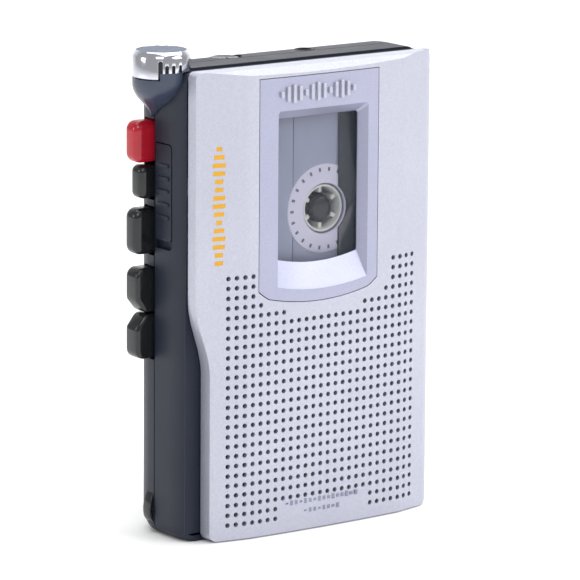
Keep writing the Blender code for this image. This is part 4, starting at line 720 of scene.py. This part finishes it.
def build_lid():
    lid = lid_form("lid_moulding", 0.0, 0.0, LID_REAR, SILVER)
    cut(lid, lid_form("lid_hollow", 1.2, 0.85, LID_REAR + 1, SILVER))
    cut(lid, plate("bezel_opening", "Y", bezel_outline(0.18), FRONT - 2, PARTING + 2, SILVER))
    wedge = [(FRONT - 1, TOP - 2.5), (FRONT - 1, TOP + 1), (FRONT + 3.5, TOP + 1)]
    cut(lid, plate("top_chamfer", "X", wedge, LEFT - 1, RIGHT + 1, SILVER))
    for low in EARS:
        below = low < TOP / 2
        start, end = (LID_BOTTOM + 0.1, low - 0.3) if below else (low + 2.3, TOP - 0.1)
        room = [(0, low - 0.3), (1.5, low - 0.3), (1.5, low + 2.3), (0, low + 2.3)]
        cut(lid, lathe("ear_room", "Z", HINGE, room, SILVER, 32))
        join(lid, bar("knuckle", "Z", HINGE, 1.1, start, end, SILVER, 40))
        cut(lid, bar("bore", "Z", HINGE, 0.62, low - 2, low + 4, SILVER, 24))
    join(lid, block("latch", (LID_LEFT + 0.3, LID_LEFT + 1.1), (LID_REAR - 2, PARTING + 2.0), (84, 88), SILVER))
    round_edges(lid, 0.3, 3, 38.0)
    holes = grown("grille_holes", PEGS, SCREEN, {"Radius": 0.6, "Length": 6.0, "Sides": 12}, grille_points())
    cut(lid, holes)
    keep(evened(settled(lid, flat=32.0)), "lid", "silver_paint", "lid_shell")
    # A black film against the inside of the holes, from its own strip bent to the lid's crown.
    across = [-28.5 + 59.5 * i / 34 for i in range(35)]
    strip = [(x, front_y(x) + 1.25) for x in across] + [(x, front_y(x) + 1.5) for x in reversed(across)]
    screen = plate("dust_screen", "Z", strip, 3.0, 65.6, SCREEN)
    cut(screen, plate("surround", "Y", bezel_outline(0.4), FRONT - 2, PARTING, SCREEN))
    settled(screen, flat=30.0)
    keep(screen, "lid", "black_plastic")


def build_bezel():
    bezel = lid_form("window_surround", 0.0, 0.5, LID_REAR, SILVER_BLUE)
    combine(bezel, plate("edge", "Y", bezel_outline(0.0), FRONT - 2, FRONT + 3.0, SILVER_BLUE), "INTERSECT")
    outer = window_outline((WINDOW_X - 13.35, WINDOW_X + 13.35), (59.0, 102.9), 1.5, 0.6)
    inner = window_outline((-11.05, 12.65), (65.2, 100.7), 1.5, 0.5)
    rings = [[(x, FRONT - 1.6, z) for x, z in outer], [(x, FRONT + 0.35, z) for x, z in outer],
             [(x, FRONT + 2.7, z) for x, z in inner], [(x, FRONT + 6.0, z) for x, z in inner]]
    cut(bezel, loft("recess", rings, SILVER_BLUE))
    keep(evened(round_edges(bezel, 0.22, 3, 28.0)), "lid", "silver_paint", "window_bezel")
    glass = window_outline((-11.7, 13.3), (63.9, 101.4), 1.5, 0.5)
    pane = plate("window_pane_clear", "Y", glass, PANE_LOW.y, PANE_HIGH.y, PANE)
    keep(round_edges(pane, 0.08, 1), "lid", "clear_window", "window_pane")
    # A raised row of bars above the window, moulded with the surround. They take the lid's lighter silver paint
    # instead of the surround's: a painted highlight that makes their tops bright.
    mark = grown("raised_bar_motif_painted_highlight", BARS, SILVER, {
        "Count": 13, "Pitch": 1.75, "Thickness": 0.95, "Lowest": 1.5, "Highest": 4.4, "Wave": 0.785, "Depth": 1.2},
        move=at(-1.2, FRONT - 0.05, 106.9))
    keep(round_edges(mark, 0.18, 2), "lid", "silver_paint")


def build_markings():
    """Printed marks on the lid: a yellow column of level bars and two grey rows, lying on its surface."""
    slope = math.atan2(-2.55, 15.3)
    yellow = grown("yellow_level_bars", BARS, INK_YELLOW, {
        "Count": 15, "Pitch": 1.95, "Thickness": 1.05, "Lowest": 1.5, "Highest": 3.4, "Wave": 0.7, "Depth": 0.10},
        move=at(-28.5, front_y(-28.5) + 0.02, 81.6, slope) @ Matrix.Rotation(math.pi / 2, 4, "Y"))
    keep(yellow, "lid", "silver_paint")
    for name, count, height, z in (("grey_dash_row_long", 16, 1.25, 7.3), ("grey_dash_row_short", 8, 1.15, 4.9)):
        row = grown(name, BARS, FOIL, {
            "Count": count, "Pitch": 1.38, "Thickness": 0.8, "Lowest": 0.45, "Highest": height, "Wave": 1.1,
            "Depth": 0.10}, move=at(0.9, FRONT + 0.0, z))
        keep(row, "lid", "silver_paint")


# The cassette ---------------------------------------------------------------------------------------


def build_cassette():
    for name, sign in (("cassette_front_half", -1), ("cassette_rear_half", 1)):
        low, high = corners(name)
        split, thick = (high.y, low.y) if sign < 0 else (low.y, high.y)
        thin = -4.8 + sign * 4.35
        outline = rounded((low.x, high.x), (low.z, high.z), 1.0)
        half = plate(name + "_moulding", "Y", outline, *sorted((split, thin)), SHELL_PS)
        nose = [(low.x + 0.01, low.z + 17), (low.x + 20, low.z + 20), (low.x + 20, high.z - 20),
                (low.x + 0.01, high.z - 17)]
        join(half, plate("nose", "Y", nose, *sorted((thin - sign, thick)), SHELL_PS))
        cut(half, block("inside", (low.x + 1, high.x - 1), tuple(sorted((split - sign, thin - sign))),
                        (low.z + 1, high.z - 1), SHELL_PS))
        for hub in (HUB, TAKEUP):
            cut(half, plate("hub_hole", "Y", disc(hub, 6.1), -12, 3, SHELL_PS))
        reach = tuple(sorted((split - sign, -4.8 + sign * 3.4)))
        for z, opening in ((55.8, 6.5), (72.8, 4.2), (38.8, 4.2), (29.3, 4.1), (82.3, 4.1)):
            cut(half, block("head_opening", (low.x - 1, low.x + 2), reach, (z - opening, z + opening), SHELL_PS))
        for z in (29.3, 82.3):
            cut(half, plate("capstan_hole", "Y", disc((-24.1, z), 2.2, 32), -12, 3, SHELL_PS))
        if sign < 0:
            # The shallow line where the label's panel meets the plain shell.
            cut(half, block("panel_line", (-4.0, -3.75), (thin - 1, thin + 0.25), (low.z + 1, high.z - 1), SHELL_PS))
        keep(round_edges(half, 0.25, 2), "root", "cassette_plastic", name)
    face = -4.8 - 4.35
    for name, hub in (("supply_scale_ring", HUB), ("takeup_scale_ring", TAKEUP)):
        ring = lathe(name, "Y", hub, [
            (6.15, face - 0.02), (6.3, face - 0.22), (10.7, face - 0.12), (10.9, face + 0.02)], MILKY, 96)
        keep(ring, "root", "cassette_plastic")
        marks = grown(name + "_marks", SPOKES, INK_GREY, {
            "Count": 22, "Circle": 9.55, "Across": 0.62, "Outward": 0.95, "Depth": 0.08},
            move=at(hub[0], face - 0.15, hub[1]))
        keep(marks, "root", "cassette_plastic")
    # The darker clear section, in front of the rings' right-hand edges.
    dark = plate("dark_clear_section", "Y", rounded((9.3, 34.0), (6.2, 105.4), 0.8), face - 0.45, face - 0.25, DARK_PS)
    for hub in (HUB, TAKEUP):
        cut(dark, plate("hole", "Y", disc(hub, 6.4), -12, 3, DARK_PS))
    keep(dark, "root", "cassette_plastic")


def build_reel(side, hub):
    """The hub's bright rim and six teeth, and the recorder's dark spindle with its three fins."""
    body = side + "_reel"
    low, high = corners(side + "_hub")
    wheel = lathe(side + "_hub_moulding", "Y", hub, [
        (5.0, low.y), (5.25, low.y - 0.9), (5.75, low.y - 0.95), (5.9, low.y), (11.0, low.y),
        (11.0, high.y), (5.0, high.y)],
        ACETAL, 96)
    teeth = grown("teeth", SPOKES, ACETAL, {
        "Count": 6, "Circle": 4.5, "Across": 0.95, "Outward": 1.6, "Depth": high.y - low.y - 0.4},
        move=at(hub[0], (low.y + high.y) / 2, hub[1], math.pi / 6, "Y"))
    join(wheel, teeth)
    keep(round_edges(wheel, 0.12, 2), body, "white_plastic", side + "_hub")
    low, high = corners(side + "_tape_pack")
    outer = (high.x - low.x) / 2
    pack = lathe(side + "_tape_winding", "Y", hub, [
        (11.35, low.y), (outer - 0.15, low.y), (outer, low.y + 0.15), (outer, high.y - 0.15), (outer - 0.15, high.y),
        (11.35, high.y)], TAPE, 96)
    keep(pack, body, "tape", side + "_tape_pack")
    NODES[side + "_spindle"].data.materials.clear()
    NODES[side + "_spindle"].data.materials.append(BLACK_PLASTIC)
    low, high = corners(side + "_spindle")
    cap = lathe(side + "_spindle_cap", "Y", hub, [
        (0, low.y - 0.12), (1.6, low.y - 0.1), (2.6, low.y + 0.15), (3.0, low.y + 0.7), (3.0, low.y + 1.5),
        (2.4, low.y + 1.6),
        (2.4, low.y + 2.5), (0, low.y + 2.5)], KEY_ABS, 64)
    keep(cap, body, "black_plastic")


# Keys and controls ----------------------------------------------------------------------------------


def key_outline(low, high, outer, stem, lower, upper):
    """A key from the front. Each outer corner is an arc of that radius, or a chamfer where it is negative."""
    points = [(stem, high), (stem, low)]
    for radius, z, way in ((lower, low, 1), (upper, high, -1)):
        if radius < 0:
            corner = [(outer - radius, z), (outer - radius * 0.72, z + way * 0.12),
                      (outer + 0.1, z - way * radius * 0.92), (outer, z - way * radius * 1.2)]
        else:
            corner = []
            for i in range(9):
                turn = math.radians(90 * i / 8)
                corner.append((outer + radius * (1 - math.sin(turn)), z + way * radius * (1 - math.cos(turn))))
        points += corner if way > 0 else list(reversed(corner))
    return points


def build_keys():
    corner = {"record_key": (2.3, 2.3), "stop_key": (1.7, 1.7), "play_key": (2.3, 2.3), "rewind_key": (-3.4, 2.3),
              "forward_key": (2.3, -3.4)}
    for name, (low, high, outer, depth) in key_sizes().items():
        finish = RED_ABS if name == "record_key" else KEY_ABS
        outline = key_outline(low, high, outer, corners(name)[1].x, *corner[name])
        key = plate(name + "_cap", "Y", outline, *depth, finish)
        step = key.modifiers.new("soft edges", "BEVEL")
        step.width = 1.7 * MM
        step.segments = 5
        step.limit_method = "ANGLE"
        step.angle_limit = math.radians(40)
        settled(key, flat=40.0)
        keep(key, name, "record_red" if name == "record_key" else "black_plastic", name)


def build_pause_slider():
    low, high = corners("pause_slider")
    outline = rounded((low.y, high.y), (low.z, high.z), (1.0, 0.2, 0.2, 1.0))
    slider = plate("pause_slider_cap", "X", outline, LEFT - 0.1, LEFT + WALL - 0.2, CASE_ABS)
    ribs = grown("ribs", BARS, CASE_ABS, {
        "Count": 5, "Pitch": 3.1, "Thickness": 0.85, "Lowest": 4.3, "Highest": 4.3, "Wave": 0.0, "Depth": 0.9},
        move=at(LEFT - 0.08, (low.y + high.y) / 2 - 0.2, high.z - 11.2)
        @ Matrix.Rotation(math.pi / 2, 4, "Z") @ Matrix.Rotation(math.pi / 2, 4, "Y"))
    join(slider, ribs)
    keep(round_edges(slider, 0.2, 2), "pause_slider", "pause_plastic", "pause_slider")


def build_top_controls():
    low, high = corners("volume_wheel")
    wheel = lathe("volume_wheel_turned", "Z", VOLUME, [
        (0, low.z), (3.7, low.z), (3.7, high.z - 0.4), (3.45, high.z - 0.1), (2.9, high.z), (2.6, high.z - 0.15),
        (0, high.z - 0.25)], KEY_ABS, 96)
    knurl = grown("knurl", SPOKES, KEY_ABS, {
        "Count": 36, "Circle": 3.6, "Across": 0.36, "Outward": 0.7, "Depth": high.z - low.z - 0.5},
        move=at(*VOLUME, (low.z + high.z) / 2 - 0.1, math.pi / 2, "X"))
    join(wheel, knurl)
    join(wheel, block("pointer", (VOLUME[0] - 0.3, VOLUME[0] + 0.3), (VOLUME[1] - 3.2, VOLUME[1] - 1.0),
                      (high.z - 0.5, high.z), KEY_ABS))
    keep(round_edges(wheel, 0.07, 1), "volume_wheel", "black_plastic", "volume_wheel")
    low, high = corners("earphone_jack")
    floor = TOP - WALL - 0.6
    jack = lathe("earphone_jack_turned", "Z", JACK, [
        (1.8, low.z), (3.2, low.z), (3.2, floor), (2.35, floor), (2.35, TOP - 0.05), (2.2, TOP + 0.12),
        (1.95, TOP + 0.12),
        (1.8, TOP - 0.05)], BLACK_PLASTIC, 64)
    keep(jack, "root", "steel", "earphone_jack")


def trim(made, x):
    """Takes off all that lies to the right of x, and closes the cut."""
    bm = bmesh.new()
    bm.from_mesh(made.data)
    bmesh.ops.bisect_plane(bm, geom=bm.verts[:] + bm.edges[:] + bm.faces[:], plane_co=(x * MM, 0, 0),
                           plane_no=(1, 0, 0), clear_outer=True)
    bmesh.ops.holes_fill(bm, edges=[edge for edge in bm.edges if edge.is_boundary], sides=0)
    bm.to_mesh(made.data)
    bm.free()


def facing_side(right, z):
    """A cutter that holds all on one side of the upright plane through the microphone's axis and the front."""
    made = block("half", (0, 30) if right else (-30, 0), (-30, 30), z, CHROME)
    made.data.transform(Matrix.Translation(Vector((*MIC, 0)) * MM) @ Matrix.Rotation(math.radians(-37), 4, "Z"))
    return made


def build_microphone():
    low, high = RING_LOW.z, RING_HIGH.z
    top = TOP - 0.25
    ring = lathe("mic_ring", "Z", MIC, [
        (MIC_ROUND - 0.9, low), (MIC_ROUND - 0.12, low), (MIC_ROUND, low + 0.12), (MIC_ROUND, high - 1.75),
        (MIC_ROUND - 0.08, high - 1.5), (MIC_ROUND - 0.8, high - 0.4), (MIC_ROUND - 0.95, high - 0.3),
        (MIC_ROUND - 1.05, high - 0.35), (MIC_ROUND - 1.1, high - 1.2)], CHROME, 128)
    cut(ring, block("side", (LEFT + 0.85, LEFT + 30), (MIC[1] - 12, MIC[1] + 12), (60, top), CHROME),
        facing_side(True, (60, top)))
    for angle, bottom, height, width in ((234, low - 0.5, 4.9, 1.1), (246.6, top - 1, 2.9, 0.9),
                                         (260.2, top - 1, 2.9, 0.9), (275.8, top - 1, 2.9, 0.9)):
        slot = rounded((-width / 2, width / 2), (bottom, bottom + height), width * 0.49)
        cutter = plate("slot", "Y", slot, MIC_ROUND - 2.0, MIC_ROUND + 1.0, CHROME)
        turn = Matrix.Translation(Vector((*MIC, 0)) * MM) @ Matrix.Rotation(math.radians(angle - 90), 4, "Z")
        cutter.data.transform(turn)
        cut(ring, cutter)
    settled(ring, flat=32.0)
    keep(ring, "root", "chrome", "mic_housing")
    core = lathe("mic_inner_wall", "Z", MIC, [
        (MIC_ROUND - 1.5, low + 0.2), (MIC_ROUND - 0.95, low + 0.2), (MIC_ROUND - 0.95, high - 1.2),
        (MIC_ROUND - 1.5, high - 1.2)], BLACK_PLASTIC, 64)
    cut(core, block("side", (LEFT + 0.6, LEFT + 30), (MIC[1] - 12, MIC[1] + 12), (60, top), BLACK_PLASTIC))
    keep(core, "root", "black_plastic")
    reach = MIC_ROUND - 1.0
    mesh = grown("mic_wire_mesh", WEAVE, WIRE, {
        "Count": 11, "Pitch": 1.1, "Disc radius": reach, "Wire radius": 0.22}, move=at(*MIC, 0.0, math.radians(54)))
    backing = lathe("mic_mesh_backing", "Z", MIC, [(0, -0.9)] + [(reach * i / 6, -0.9) for i in range(1, 7)]
                    + [(reach * i / 6, -0.45) for i in range(6, 0, -1)] + [(0, -0.45)], SCREEN, 64)
    # Both are crowned: flush with the rim at the edge and 0.35 mm higher in the middle.
    for made in (mesh, backing):
        for vertex in made.data.vertices:
            away = (Vector((vertex.co.x, vertex.co.y)) / MM - Vector(MIC)).length / reach
            vertex.co.z += (high - 0.62 + 0.35 * (1 - away**2)) * MM
    keep(mesh, "root", "mesh", "mic_grille")
    keep(backing, "root", "mesh")
    # The pod: full under the ring, then drawn in and back to a tip against the case's side. On the side
    # that faces front it stands as high as the case.
    low = POD_LOW.z
    length = POD_HIGH.z - low
    marks = [(0.0, 0.03), (0.07, 0.10), (0.16, 0.17), (0.26, 0.32), (0.36, 0.48), (0.45, 0.62), (0.53, 0.73),
             (0.62, 0.83), (0.7, 0.90), (0.82, 0.965), (0.92, 0.985)]
    flank = [(MIC_ROUND * share, low + length * height) for height, share in marks]
    # The pod's lighter plastic is a painted sheen.
    pod = lathe("mic_pod_moulding", "Z", MIC, [(0, low)] + flank + [(MIC_ROUND * 0.985, top), (0, top)], POD_ABS_PAINTED_SHEEN, 96)
    for vertex in pod.data.vertices:
        down = 1 - min((vertex.co.z / MM - low) / length, 1.0)
        vertex.co.y += 4.3 * down**1.3 * MM
        vertex.co.x += 0.4 * down * MM
    cut(pod, facing_side(False, (POD_HIGH.z, TOP + 5)))
    trim(pod, LEFT + 0.9)
    settled(pod, flat=50.0)
    keep(pod, "root", "shell", "mic_pod")


# What lies inside -----------------------------------------------------------------------------------


def build_cells():
    """Cylindrical cells with their printed jacket, button and bare ends."""
    for name, way in (("lower_cell", 1), ("upper_cell", -1)):
        low, high = corners(name)
        centre = ((low.y + high.y) / 2, (low.z + high.z) / 2)
        radius = (high.z - low.z) / 2 - 0.02
        start, end = (low.x, high.x) if way > 0 else (high.x, low.x)
        jacket = lathe(name + "_jacket", "X", centre, [
            (0, start), (radius - 0.6, start), (radius, start + way * 0.5), (radius, end - way * 1.9),
            (radius - 0.5, end - way * 1.4), (2.0, end - way * 1.3), (1.9, end - way * 0.1),
            (1.7, end), (0, end)], CELL, 64)
        keep(jacket, "root", "cell_jacket", name)
        band = lathe(name + "_band", "X", centre, [
            (radius - 0.2, end - way * 12.0), (radius + 0.03, end - way * 12.0), (radius + 0.03, end - way * 2.2),
            (radius - 0.2, end - way * 2.2)], BRASS, 64)
        keep(band, "root", "cell_jacket")


def dress_cad_nodes():
    """Finishes for the CAD nodes whose own shape stays."""
    dressed = {
        STEEL: ["deck_plate", "lower_hinge_pin", "upper_hinge_pin", "key_spring", "capstan_shaft", "head_plate",
                "pinch_arm", "motor", "speaker_frame", "cassette_spring", "lower_cell_spring", "upper_cell_spring",
                "mic_capsule"],
        BRASS: ["flywheel", "motor_pulley", "capstan_bush"],
        CHROME: ["record_play_head", "erase_head"],
        BLACK_PLASTIC: ["volume_control", "battery_holder"],
        ACETAL: ["idler_gear", "upper_tape_roller", "lower_tape_roller"],
        TAPE: ["tape_run"],
        RUBBER: ["drive_belt", "pinch_roller", "mic_cushion"],
        CONE: ["speaker_cone"],
        BOARD: ["circuit_board"],
    }
    for finish, names in dressed.items():
        for name in names:
            NODES[name].data.materials.clear()
            NODES[name].data.materials.append(finish)


# The studio -----------------------------------------------------------------------------------------


VIEW_DISTANCE = 1.112
PAPER_BELOW = 0.00002


def build_studio():
    floor_finish = surface("pale_studio_paper", "FFFFFF", 0.9, "FDFDFD", cloud=900)
    bm = bmesh.new()
    sweep = [(-2.2, 0.0), (0.9, 0.0)]
    turns = [math.radians(9 * i) for i in range(11)]
    sweep += [(0.9 + 0.5 * math.sin(turn), 0.5 - 0.5 * math.cos(turn)) for turn in turns]
    sweep.append((1.4, 2.6))
    rows = [[bm.verts.new((x / MM, y / MM, (z - PAPER_BELOW) / MM)) for y, z in sweep] for x in (-2.6, 2.6)]
    for i in range(len(sweep) - 1):
        bm.faces.new((rows[0][i], rows[1][i], rows[1][i + 1], rows[0][i + 1]))
    floor = piece("studio_sweep", bm, floor_finish)
    floor.data.transform(Matrix.Rotation(math.radians(-36), 4, "Z"))

    world = bpy.data.worlds.new("studio_air")
    bpy.context.scene.world = world
    world.use_nodes = True
    tree = world.node_tree
    tree.nodes.clear()
    sky = add(tree, "ShaderNodeBackground", links={"Color": linear("FFFFFF"), "Strength": 0.42})
    add(tree, "ShaderNodeOutputWorld", links={"Surface": sky.outputs[0]})

    target = Vector((0.0, 0.0, 0.055))
    for name, place, size, power in (
            ("top_softbox", (0.35, 0.1, 1.5), 2.0, 25.0),
            ("key_softbox", (-0.75, -0.8, 1.0), 0.6, 4.0),
            ("fill_softbox", (0.7, -1.0, 0.7), 0.8, 7.0),
            ("rim_softbox", (-1.0, 0.35, 0.35), 0.35, 1.6)):
        light = bpy.data.lights.new(name, "AREA")
        light.shape = "SQUARE"
        light.size = size
        light.energy = power
        lamp = bpy.data.objects.new(name, light)
        lamp.location = place
        lamp.rotation_euler = (target - Vector(place)).to_track_quat("-Z", "Y").to_euler()
        bpy.context.scene.collection.objects.link(lamp)

    camera = bpy.data.cameras.new("camera")
    camera.lens = 285.0
    camera.sensor_width = 36.0
    camera.clip_end = 20.0
    view = bpy.data.objects.new("camera", camera)
    aim = Vector((1.87, -0.31, 55.9)) * MM
    view.location = aim + VIEW_DISTANCE * Vector((-0.576, -0.793, 0.199)).normalized()
    facing = (aim - view.location).to_track_quat("-Z", "Y")
    view.rotation_euler = (facing.to_matrix() @ Matrix.Rotation(math.radians(0.4), 3, "Z")).to_euler()
    bpy.context.scene.collection.objects.link(view)
    bpy.context.scene.camera = view
    bpy.context.scene.view_settings.view_transform = "Standard"


build_front_case()
build_rear_case()
build_battery_door()
build_screws()
build_lid()
build_bezel()
build_markings()
build_cassette()
build_reel("supply", HUB)
build_reel("takeup", TAKEUP)
build_keys()
build_pause_slider()
build_top_controls()
build_microphone()
build_cells()
dress_cad_nodes()
build_studio()
